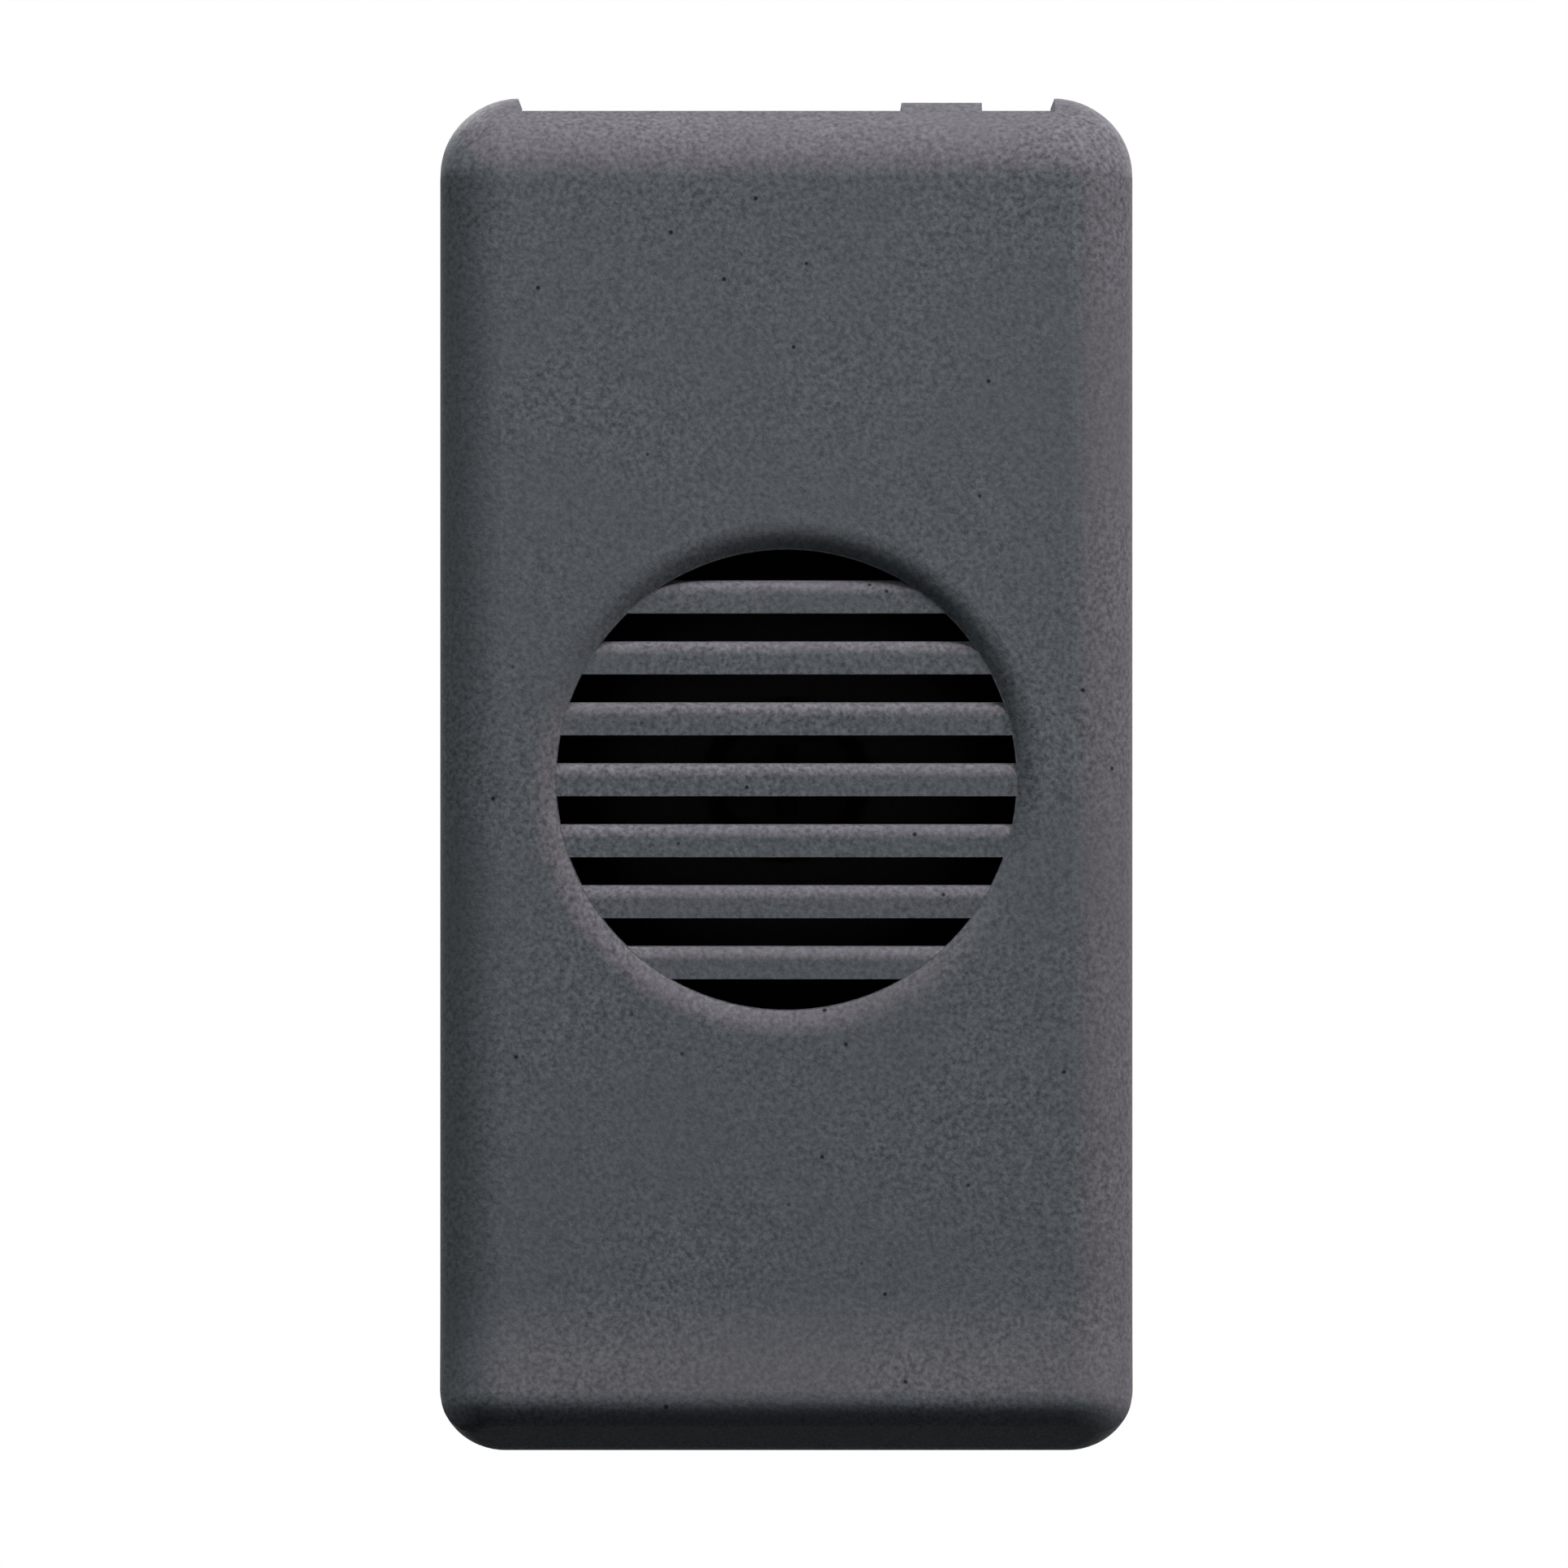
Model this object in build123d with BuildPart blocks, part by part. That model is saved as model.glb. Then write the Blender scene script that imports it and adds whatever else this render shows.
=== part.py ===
from build123d import *
from math import acos, cos, degrees, radians, sin, sqrt, tan
import os

# A one-module flush-mounting door bell: a moulded cover with a round louvred grille over a small
# electric bell, in a casing that snaps into a wall frame. All sizes are in millimetres.
# X is the width, Y the depth with the front at -Y, and Z the height. The origin is the grille's
# axis in the plane where the cover seats on the wall frame.

# Shared clearances
overrun = 1.0
press_gap = 0.02
thread_gap = 0.05
slip_gap = 0.15
touch_gap = 0.05

# Cover
cover_width = 22.4
cover_rise = 22.1
cover_drop = 21.7
cover_depth = 9.6
cover_wall = 1.4
cover_front_thickness = 1.9
top_corner_radius = 2.55
bottom_corner_radius = 2.1
edge_roll_radius = 2.0
top_slope_height = 1.5
top_slope_angle = 60.0
top_slope_radius = 2.1
bottom_lip_height = 4.2
bottom_lip_angle = 9.0
bottom_lip_radius = 12.0
bottom_slope_height = 1.22
bottom_slope_angle = 62.0
bottom_slope_radius = 1.1
cover_overrun = 4.0
inner_edge_radius = 0.6

# Recess and rib in the cover's top wall, where the wall frame's tongue passes
top_recess_width = 17.4
top_recess_depth = 0.47
top_rib_width = 2.6
top_rib_height = 0.29
top_rib_x = 5.03

# Round grille
grille_radius = 7.43
grille_sink = 0.3
grille_ledge = 0.03
grille_rim_radius = 1.3
slot_count = 8
slot_pitch = 1.965
slot_height = 0.9
slat_round_radius = 0.45

# Casing
casing_length = 25.4
casing_wall = 1.2
casing_corner_radius = 1.2
collar_depth = 4.2
flange_end_gap = 3.08
flange_foot_gap = 3.15
flange_thickness = 1.2
flange_inset = 0.2
sound_wall_y = 2.6
sound_wall_thickness = 1.4

# Nubs that hold the cover on the casing's collar
nub_height = 0.4
nub_length = 3.0
nub_width = 1.0
nub_y = -2.7
nub_share = 0.697
nub_foot_share = 0.6946
nub_pocket_gap = 0.15

# Teeth that hold the casing in the wall frame
frame_thickness = 2.15
tooth_height = 0.9
tooth_flat = 0.5
tooth_slope = 2.0
tooth_width = 3.0
tooth_x = 5.5
tongue_width = 7.0
tongue_length = 6.8
tongue_start = 1.2
tongue_slit = 0.6
tongue_notch_depth = 1.4

# Rear plate
plate_thickness = 1.6
plate_edge_radius = 0.5
spigot_depth = 1.2
spigot_wall = 1.0
hook_width = 2.6
hook_thickness = 1.0
hook_length = 3.8
hook_catch = 0.8
hook_catch_height = 0.6
hook_from_top = 4.9
hook_from_bottom = 1.9

# Gong
gong_wall_gap = 0.8
gong_height = 4.2
gong_thickness = 0.7
gong_skirt = 1.5
gong_flat_radius = 3.4
gong_rim_y = -1.7
gong_side_room = 0.9

# What carries the gong
post_radius = 2.0
post_boss_radius = 3.6
post_boss_height = 1.4
post_spigot_radius = 1.5
post_rivet_radius = 2.2
post_rivet_height = 0.5
gong_screw_radius = 1.25
gong_screw_length = 5.4
gong_screw_head_radius = 2.3
gong_screw_head_height = 1.1
rear_washer_thickness = 0.4
front_washer_thickness = 0.3
washer_radius = 2.7

# Yoke and core of the electromagnet
yoke_boss_length = 3.4
yoke_boss_radius = 3.0
yoke_thickness = 1.6
yoke_width_share = 1.42
yoke_top_gap = 0.25
yoke_leg_front = 6.0
yoke_bend_radius = 1.2
core_share = 0.373
core_spigot_share = 0.8
pole_share = 0.567
pole_thickness = 1.0
pole_pin_radius = 0.7
pole_pin_length = 2.0
pole_pin_proud = 0.08

# Coil
bobbin_share = 0.8536
bobbin_flange_thickness = 1.0
bobbin_flange_corner = 1.5
bobbin_tube_wall = 0.75
coil_room = 0.7
winding_inset = 0.6
tape_thickness = 0.25
lug_gap = 0.4
lug_width = 2.6
pin_radius = 0.4
pin_below = 1.0
pin_above = 1.2
pin_from_core = 2.0

# Screws that hold the yoke
yoke_screw_radius = 1.5
yoke_screw_head_radius = 2.7
yoke_screw_head_height = 1.2
yoke_screw_sink = 1.4
yoke_screw_low_share = 0.47
yoke_screw_high_share = 0.805

# Armature and its leaf spring
swing_angle = 5.0
armature_gap = 0.15
armature_thickness = 1.2
armature_share = 0.917
armature_front_gap = 4.3
armature_rear = 0.8
armature_nose_width = 5.0
armature_nose_length = 1.6
armature_corner = 0.8
spring_thickness = 0.25
spring_width_share = 0.727
spring_up_share = 0.294
spring_end_gap = 0.7
spring_bend_radius = 0.8
rivet_radius = 0.7
rivet_head_radius = 1.15
rivet_head_height = 0.4
rivet_share = 0.21
yoke_rivet_share = 0.16
armature_rivet_share = 0.6512

# Hammer
rod_radius = 0.6
rod_bend_radius = 2.0
rod_straight = 2.1
rod_drop_run = 3.9
holder_width = 4.0
holder_length = 3.0
holder_height = 1.8
holder_spigot_radius = 0.9
head_radius = 1.5
head_length = 3.4
head_chamfer = 0.35
head_overlap = 2.0
strike_gap = 0.25
rod_tail = 0.4
hammer_slot_width = 3.8
hammer_slot_room = 0.6

# Terminals
terminal_share = 0.5444
cage_share = 0.7337
cage_length_share = 0.6965
cage_rear_gap = 3.85
screw_foot_gap = 0.65
cage_top_wall = 0.85
cage_bottom_wall = 1.4
cage_side_wall = 0.8
cage_window_height = 3.2
clamp_thickness = 0.8
clamp_float = 0.1
clamp_groove = 0.3
clamp_groove_count = 3
terminal_screw_radius = 1.5
terminal_tip_radius = 1.0
terminal_spun_radius = 1.3
terminal_spun_height = 0.3
terminal_head_share = 0.355
terminal_head_height = 1.3
driver_slot_width = 0.7
driver_slot_depth = 0.6
driver_hole_room = 0.2
bush_wall = 0.8
bush_collar_reach = 0.7
bush_collar_height = 0.8
bush_mouth_chamfer = 0.4

# Guard that closes the casing's bottom under the terminals
guard_side_margin = 0.6
guard_end_margin = 0.8
guard_lip_reach = 0.6
guard_lip_thickness = 0.4

# Shelf that keeps the terminals apart from the armature, and the rails that hold their cages
shelf_thickness = 0.6
shelf_clearance = 2.35
shelf_front_gap = 1.0
rail_wall = 0.5
rail_lip = 0.5
rail_lip_thickness = 0.4
stop_length = 1.2
stop_width = 3.0
stop_gap = 0.12

# Leads between the coil and the terminals
lead_radius = 0.5
lead_bend_radius = 0.85
lead_fall = 1.7
lead_slant = 0.7
lead_cage_y = 0.9
lead_notch = 0.3

# Places that follow from the sizes above
cover_front_y = -cover_depth
cover_inner_y = cover_front_y + cover_front_thickness
slat_y = cover_front_y + grille_sink
cover_inner_half = cover_width / 2 - cover_wall
cover_inner_rise = cover_rise - top_recess_depth - cover_wall
cover_inner_drop = cover_drop - cover_wall

casing_half = cover_inner_half - slip_gap
casing_rise = cover_inner_rise - slip_gap
casing_drop = cover_inner_drop - slip_gap
casing_inner_half = casing_half - casing_wall
casing_inner_rise = casing_rise - casing_wall
casing_inner_drop = casing_drop - casing_wall
flange_half = cover_width / 2 - flange_inset
flange_reach = casing_rise - flange_end_gap
flange_foot = casing_drop - flange_foot_gap
nub_heights = (-nub_foot_share * casing_drop, nub_share * casing_rise)
hook_z_high = casing_inner_rise - hook_from_top
hook_z_low = hook_from_bottom - casing_inner_drop
sound_wall_rear = sound_wall_y + sound_wall_thickness
plate_rear_y = casing_length + plate_thickness

gong_radius = cover_inner_half - gong_wall_gap
gong_crown_y = gong_rim_y - gong_height
post_front_y = gong_crown_y + gong_thickness + rear_washer_thickness
post_rear_y = sound_wall_y - post_boss_height
notch_half = gong_radius + gong_side_room

# The armature reaches from its hinge towards the sound wall, and the terminals lie behind its nose
yoke_rear_y = casing_length - yoke_boss_length
yoke_front_y = yoke_rear_y - yoke_thickness
hinge_y = yoke_rear_y
armature_front = sound_wall_rear + armature_front_gap - hinge_y
armature_length = -armature_rear - armature_front
holder_front = armature_front - armature_nose_length + armature_corner
holder_rear = holder_front + holder_length
shelf_front = hinge_y + holder_rear + shelf_front_gap
spring_along = hinge_y - shelf_front - stop_length - spring_end_gap
armature_rivet_along = armature_rivet_share * spring_along

# The terminals stand on the casing's floor, and the shelf over them carries the height of the rest
terminal_x = terminal_share * casing_inner_half
cage_width = cage_share * casing_inner_half
cage_outer_x = terminal_x + cage_width / 2
cage_inner_x = terminal_x - cage_width / 2
terminal_head_radius = terminal_head_share * cage_width
driver_hole_radius = terminal_head_radius + driver_hole_room
guard_half = terminal_x + driver_hole_radius + guard_side_margin
guard_half_length = driver_hole_radius + guard_end_margin
clamp_travel = (cage_window_height - clamp_float - clamp_thickness - touch_gap - terminal_spun_height
                - clamp_float)
terminal_head_top = screw_foot_gap + terminal_head_height - casing_inner_drop
cage_bottom = terminal_head_top + clamp_travel + slip_gap
cage_floor = cage_bottom + cage_bottom_wall
cage_ceiling = cage_floor + cage_window_height
cage_top = cage_ceiling + cage_top_wall
cage_rear_y = casing_length - cage_rear_gap
cage_length = cage_length_share * (cage_rear_y - shelf_front)
cage_front_y = cage_rear_y - cage_length
screw_y = (cage_front_y + cage_rear_y) / 2
clamp_bottom = cage_floor + clamp_float
clamp_top = clamp_bottom + clamp_thickness
wire_z = (clamp_top + cage_ceiling) / 2
wire_hole_radius = (cage_ceiling - clamp_top) / 2
bush_radius = wire_hole_radius + bush_wall
lead_x = cage_outer_x - lead_radius
lead_foot_y = cage_front_y + lead_cage_y
shelf_bottom = cage_top + touch_gap
shelf_top = shelf_bottom + shelf_thickness

yoke_top = casing_inner_rise - yoke_top_gap
yoke_foot = shelf_top + shelf_clearance + armature_gap + armature_thickness
yoke_height = yoke_top - yoke_foot
yoke_width = yoke_width_share * casing_inner_half
yoke_screw_z_low = yoke_foot + yoke_screw_low_share * yoke_height
yoke_screw_z_high = yoke_foot + yoke_screw_high_share * yoke_height
coil_half_room = min(casing_inner_half, (yoke_front_y - coil_room - sound_wall_rear) / 2)
bobbin_flange_half = bobbin_share * coil_half_room
core_y = yoke_front_y - coil_room - bobbin_flange_half
core_radius = core_share * bobbin_flange_half
core_spigot_radius = core_spigot_share * core_radius
pole_radius = pole_share * bobbin_flange_half
winding_radius = bobbin_flange_half - winding_inset
lug_half = casing_inner_half - lug_gap
bobbin_top = yoke_top - yoke_thickness - touch_gap
bobbin_bottom = yoke_foot + pole_thickness + touch_gap
bobbin_tube_radius = core_radius + touch_gap + bobbin_tube_wall
winding_bottom = bobbin_bottom + bobbin_flange_thickness + touch_gap
winding_top = bobbin_top - bobbin_flange_thickness - touch_gap

# The armature's parts are drawn as they lie when pulled in, on a plane that is tilted open at rest
hinge_z = yoke_foot
armature_width = armature_share * yoke_width
spring_width = spring_width_share * armature_width
spring_up = spring_up_share * yoke_height
rivet_half_spacing = rivet_share * armature_width
yoke_rivet_up = yoke_rivet_share * yoke_height
tilt = radians(swing_angle)
swing = Plane(origin=(0, hinge_y, hinge_z), x_dir=(1, 0, 0), z_dir=(0, -sin(tilt), cos(tilt)))
armature_low = -armature_gap - armature_thickness
rod_w = armature_low - holder_height / 2
head_w = -gong_radius - strike_gap - head_radius - hinge_z
head_rear_v = gong_rim_y + head_length - head_overlap - hinge_y
head_front_v = head_rear_v - head_length
rod_bend_v = holder_front - rod_straight
rod_low_v = rod_bend_v - rod_drop_run

pin_y = core_y - pin_from_core

sides = (-1, 1)
side_names = {-1: "left", 1: "right"}


# An upright plane at depth y. Its x is the width, its y the height, and it faces the front.
def upright(y):
    return Plane.XZ.offset(-y)


# A plane at height z, seen from above
def level(z):
    return Plane.XY.offset(z)


# A box between two limits on each axis
def slab(x, y, z, mode=Mode.ADD):
    middle = [(low + high) / 2 for low, high in (x, y, z)]
    with Locations(tuple(middle)):
        Box(x[1] - x[0], y[1] - y[0], z[1] - z[0], mode=mode)


# A rounded oblong between heights -drop and rise, drawn on an upright plane
def oblong(half_width, rise, drop, radius):
    with Locations((0, (rise - drop) / 2)):
        RectangleRounded(2 * half_width, rise + drop, radius)


def save(piece, name):
    piece.part.label = name
    export_step(piece.part, f"parts/{name}.step")


os.makedirs("parts", exist_ok=True)


# Cover: one moulding with rolled edges, a round sunk grille and a recess in its top wall
with BuildPart() as louvre_slots:
    for index in range(slot_count):
        slot_z = (index - (slot_count - 1) / 2) * slot_pitch
        low = slot_z - slot_height / 2
        high = slot_z + slot_height / 2
        front = slat_y - overrun
        rear = cover_inner_y + overrun
        with BuildSketch(Plane.YZ):
            with BuildLine():
                if index == 0:
                    Polyline((front, high), (rear, high), (rear, -grille_radius - overrun),
                             (front, -grille_radius - overrun), close=True)
                else:
                    top = grille_radius + overrun if index == slot_count - 1 else high
                    round_low = low - slat_round_radius
                    round_rear = slat_y + slat_round_radius
                    Polyline((slat_y, round_low), (front, round_low), (front, top), (rear, top),
                             (rear, low), (round_rear, low))
                    CenterArc((round_rear, round_low), slat_round_radius, 90, 90)
            make_face()
        extrude(amount=grille_radius + overrun, both=True)
    with BuildSketch(upright(cover_inner_y + 2 * overrun)):
        Circle(grille_radius)
    extrude(amount=cover_depth + 2 * overrun, mode=Mode.INTERSECT)

with BuildPart() as front_cover:
    # The block runs on below the cover's foot, so that the rolled sides reach the bottom slope
    with BuildSketch(upright(0)) as cover_block:
        with Locations((0, (cover_rise - cover_drop - cover_overrun) / 2)):
            Rectangle(cover_width, cover_rise + cover_drop + cover_overrun)
        fillet(cover_block.vertices(), top_corner_radius)
    extrude(amount=cover_depth + cover_overrun)

    # The front is flat in the middle, slopes away at the top and rises to a low lip at the bottom
    with BuildSketch(Plane.YZ) as cover_side:
        with BuildLine():
            top_bend = (cover_front_y, cover_rise - top_slope_height)
            top_rate = tan(radians(top_slope_angle))
            top_end = (cover_front_y + (top_slope_height + overrun) * top_rate, cover_rise + overrun)
            lip_bend = (cover_front_y, bottom_lip_height - cover_drop)
            lip_rate = tan(radians(bottom_lip_angle))
            lip_fall = bottom_lip_height + cover_overrun + overrun
            lip_end = (cover_front_y - lip_fall * lip_rate, lip_bend[1] - lip_fall)
            Polyline(top_bend, top_end, (overrun, top_end[1]), (overrun, lip_end[1]), lip_end,
                     lip_bend, close=True)
        make_face()
        bends = cover_side.vertices().filter_by_position(Axis.X, cover_front_y - touch_gap,
                                                         cover_front_y + touch_gap)
        fillet(bends.sort_by(Axis.Y)[-1], top_slope_radius)
        bends = cover_side.vertices().filter_by_position(Axis.X, cover_front_y - touch_gap,
                                                         cover_front_y + touch_gap)
        fillet(bends.sort_by(Axis.Y)[0], bottom_lip_radius)
    extrude(amount=cover_width, both=True, mode=Mode.INTERSECT)
    walls = front_cover.faces().filter_by(lambda face: abs(face.normal_at().Y) < 0.01)
    fronts = front_cover.faces().filter_by(lambda face: face.normal_at().Y < -0.3)
    fillet(fronts.edges() & walls.edges(), edge_roll_radius)

    # The foot: the true outline, then a steep slope with rounded edges that faces down
    with BuildSketch(upright(overrun)) as cover_outline:
        with Locations((0, (cover_rise - cover_drop) / 2)):
            Rectangle(cover_width, cover_rise + cover_drop)
        fillet(cover_outline.vertices().group_by(Axis.Y)[-1], top_corner_radius)
        fillet(cover_outline.vertices().group_by(Axis.Y)[0], bottom_corner_radius)
    extrude(amount=cover_depth + cover_overrun + overrun, mode=Mode.INTERSECT)
    with BuildSketch(Plane.YZ):
        with BuildLine():
            foot_fall = bottom_slope_height + overrun
            foot_z = bottom_slope_height - cover_drop
            foot_y = cover_front_y - (bottom_lip_height - bottom_slope_height) * lip_rate
            foot_rear = foot_y + foot_fall * tan(radians(bottom_slope_angle))
            Polyline((foot_y, foot_z), (foot_rear, foot_z - foot_fall),
                     (foot_y - overrun, foot_z - foot_fall), (foot_y - overrun, foot_z), close=True)
        make_face()
    extrude(amount=cover_width, both=True, mode=Mode.SUBTRACT)
    slopes = front_cover.faces().filter_by(lambda face: face.normal_at().Z < -0.8
                                           and face.normal_at().Y < -0.3)
    fillet(slopes.edges(), bottom_slope_radius)

    with BuildSketch(upright(0)) as cover_hollow:
        with Locations((0, (cover_inner_rise - cover_inner_drop) / 2)):
            Rectangle(2 * cover_inner_half, cover_inner_rise + cover_inner_drop)
        fillet(cover_hollow.vertices().group_by(Axis.Y)[-1], top_corner_radius - cover_wall)
        fillet(cover_hollow.vertices().group_by(Axis.Y)[0], bottom_corner_radius - cover_wall)
    extrude(amount=-cover_inner_y, mode=Mode.SUBTRACT)
    ceiling = front_cover.faces().filter_by(Axis.Y).filter_by_position(
        Axis.Y, cover_inner_y - touch_gap, cover_inner_y + touch_gap)
    fillet(ceiling.edges(), inner_edge_radius)

    # The rolled rim runs down from the front to the sunk face of the slats
    with BuildSketch(Plane.XY):
        with BuildLine():
            rim_inner = grille_radius + grille_ledge
            rim_outer = rim_inner + sqrt(grille_sink * (2 * grille_rim_radius - grille_sink))
            rim_angle = degrees(acos((grille_rim_radius - grille_sink) / grille_rim_radius))
            CenterArc((rim_outer, cover_front_y + grille_rim_radius), grille_rim_radius,
                      270 - rim_angle, rim_angle)
            Polyline((rim_outer, cover_front_y), (rim_outer, cover_front_y - overrun),
                     (0, cover_front_y - overrun), (0, slat_y), (rim_inner, slat_y))
        make_face()
    revolve(axis=Axis.Y, mode=Mode.SUBTRACT)
    add(louvre_slots.part, mode=Mode.SUBTRACT)

    # Recess and rib in the top wall
    with BuildSketch(upright(overrun)):
        recess_floor = cover_rise - top_recess_depth
        with Locations((0, recess_floor)):
            Rectangle(top_recess_width, top_recess_depth + overrun, align=(Align.CENTER, Align.MIN))
        with Locations((top_rib_x, recess_floor)):
            Rectangle(top_rib_width, top_rib_height, align=(Align.CENTER, Align.MIN),
                      mode=Mode.SUBTRACT)
    extrude(amount=cover_depth + 2 * overrun, mode=Mode.SUBTRACT)

    # Seats for the casing's side flanges, and pockets for the nubs of its collar
    for side in sides:
        reach = sorted((side * (cover_inner_half - overrun), side * (cover_width / 2 + overrun)))
        slab(reach, (-flange_thickness, overrun),
             (-flange_foot - slip_gap, flange_reach + slip_gap), Mode.SUBTRACT)
        for height in nub_heights:
            pocket = sorted((side * (cover_inner_half - overrun),
                             side * (casing_half + nub_height + touch_gap)))
            room = nub_pocket_gap
            slab(pocket, (nub_y - nub_width / 2 - room, nub_y + nub_width / 2 + room),
                 (height - nub_length / 2 - room, height + nub_length / 2 + room), Mode.SUBTRACT)
save(front_cover, "front_cover")


# Casing: a sleeve open at the rear, with a wall that carries the gong and a collar for the cover
with BuildPart() as casing:
    with BuildSketch(upright(casing_length)):
        oblong(casing_half, casing_rise, casing_drop, casing_corner_radius)
    extrude(amount=casing_length + collar_depth)
    inner_corner = casing_corner_radius / 2
    with BuildSketch(upright(casing_length)):
        oblong(casing_inner_half, casing_inner_rise, casing_inner_drop, inner_corner)
    extrude(amount=casing_length - sound_wall_rear, mode=Mode.SUBTRACT)
    with BuildSketch(upright(sound_wall_y)):
        oblong(casing_inner_half, casing_inner_rise, casing_inner_drop, inner_corner)
    extrude(amount=sound_wall_y + collar_depth, mode=Mode.SUBTRACT)

    # Side flanges under the cover's long walls, and room for the gong between the collar's ends
    for side in sides:
        slab(sorted((side * casing_inner_half, side * flange_half)), (-flange_thickness, 0),
             (-flange_foot, flange_reach))
    slab((-casing_half - overrun, casing_half + overrun),
         (-collar_depth - overrun, -flange_thickness), (-notch_half, notch_half), Mode.SUBTRACT)

    # Boss and hole for the gong's post
    with BuildSketch(upright(sound_wall_y)):
        Circle(post_boss_radius)
    extrude(amount=post_boss_height)
    with BuildSketch(upright(sound_wall_rear + overrun)):
        Circle(post_spigot_radius + press_gap)
    extrude(amount=sound_wall_thickness + post_boss_height + 2 * overrun, mode=Mode.SUBTRACT)

    # Opening in the wall for the hammer's rod, tall enough to let its head through
    slot_top = hinge_z + max(rod_w, head_w) + rod_radius + hammer_slot_room
    rest_fall = (hinge_y - sound_wall_y) * sin(tilt)
    slot_low = hinge_z + min(rod_w, head_w) - rest_fall - rod_radius - hammer_slot_room
    with BuildSketch(upright(sound_wall_rear + overrun)):
        with Locations((0, (slot_top + slot_low) / 2)):
            RectangleRounded(hammer_slot_width, slot_top - slot_low, hammer_slot_width / 4)
    extrude(amount=sound_wall_thickness + 2 * overrun, mode=Mode.SUBTRACT)

    # Opening for the guard in the bottom wall
    slab((-guard_half - touch_gap, guard_half + touch_gap),
         (screw_y - guard_half_length - touch_gap, screw_y + guard_half_length + touch_gap),
         (-casing_drop - overrun, -casing_inner_drop + overrun), Mode.SUBTRACT)

    # Fixed teeth under the bottom wall
    tooth_end = frame_thickness + tooth_flat + tooth_slope
    for side in sides:
        with BuildSketch(Plane.YZ.offset(side * tooth_x - tooth_width / 2)):
            with BuildLine():
                tooth_root = -casing_drop + casing_wall / 2
                Polyline((frame_thickness, tooth_root), (frame_thickness, -casing_drop - tooth_height),
                         (frame_thickness + tooth_flat, -casing_drop - tooth_height),
                         (tooth_end, -casing_drop), (tooth_end, tooth_root), close=True)
            make_face()
        extrude(amount=tooth_width)

    # Springy tongue in the top wall, with its own tooth
    tongue_end = tongue_start + tongue_length
    slit_half = tongue_width / 2 + tongue_slit
    top_span = (casing_inner_rise - touch_gap, casing_rise + overrun)
    slab((-slit_half, slit_half), (tongue_start - tongue_slit, tongue_start), top_span, Mode.SUBTRACT)
    for side in sides:
        slab(sorted((side * tongue_width / 2, side * slit_half)),
             (tongue_start - tongue_slit, tongue_end), top_span, Mode.SUBTRACT)
    slab((-slit_half, slit_half), (sound_wall_y - overrun, sound_wall_rear + overrun),
         (casing_inner_rise - tongue_notch_depth, casing_inner_rise), Mode.SUBTRACT)
    with BuildSketch(Plane.YZ.offset(-tongue_width / 2)):
        with BuildLine():
            tooth_root = casing_rise - casing_wall / 2
            Polyline((frame_thickness, tooth_root), (frame_thickness, casing_rise + tooth_height),
                     (frame_thickness + tooth_flat, casing_rise + tooth_height),
                     (tooth_end, casing_rise), (tooth_end, tooth_root), close=True)
        make_face()
    extrude(amount=tongue_width)

    # Nubs on the collar, and windows in the side walls for the rear plate's hooks
    for side in sides:
        nub_span = sorted((side * (casing_half - casing_wall / 2), side * (casing_half + nub_height)))
        for height in nub_heights:
            slab(nub_span, (nub_y - nub_width / 2, nub_y + nub_width / 2),
                 (height - nub_length / 2, height + nub_length / 2))
        window = sorted((side * (casing_inner_half - touch_gap), side * (casing_half + overrun)))
        window_y = (casing_length - hook_length - slip_gap,
                    casing_length - hook_length + hook_catch + hook_catch_height + slip_gap)
        for height in (hook_z_low, hook_z_high):
            half = hook_width / 2 + slip_gap
            slab(window, window_y, (height - half, height + half), Mode.SUBTRACT)
save(casing, "casing")


# Guard: a small plate with a screwdriver hole under each terminal, held by a lip at its front and rear
with BuildPart() as terminal_guard:
    slab((-guard_half, guard_half), (screw_y - guard_half_length, screw_y + guard_half_length),
         (-casing_drop, -casing_inner_drop))
    lip_half_length = guard_half_length + guard_lip_reach
    slab((-guard_half, guard_half), (screw_y - lip_half_length, screw_y + lip_half_length),
         (-casing_inner_drop, -casing_inner_drop + guard_lip_thickness))
    with BuildSketch(level(-casing_drop - overrun)):
        with Locations((-terminal_x, screw_y), (terminal_x, screw_y)):
            Circle(driver_hole_radius)
    extrude(amount=casing_wall + guard_lip_thickness + 2 * overrun, mode=Mode.SUBTRACT)
save(terminal_guard, "terminal_guard")


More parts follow.
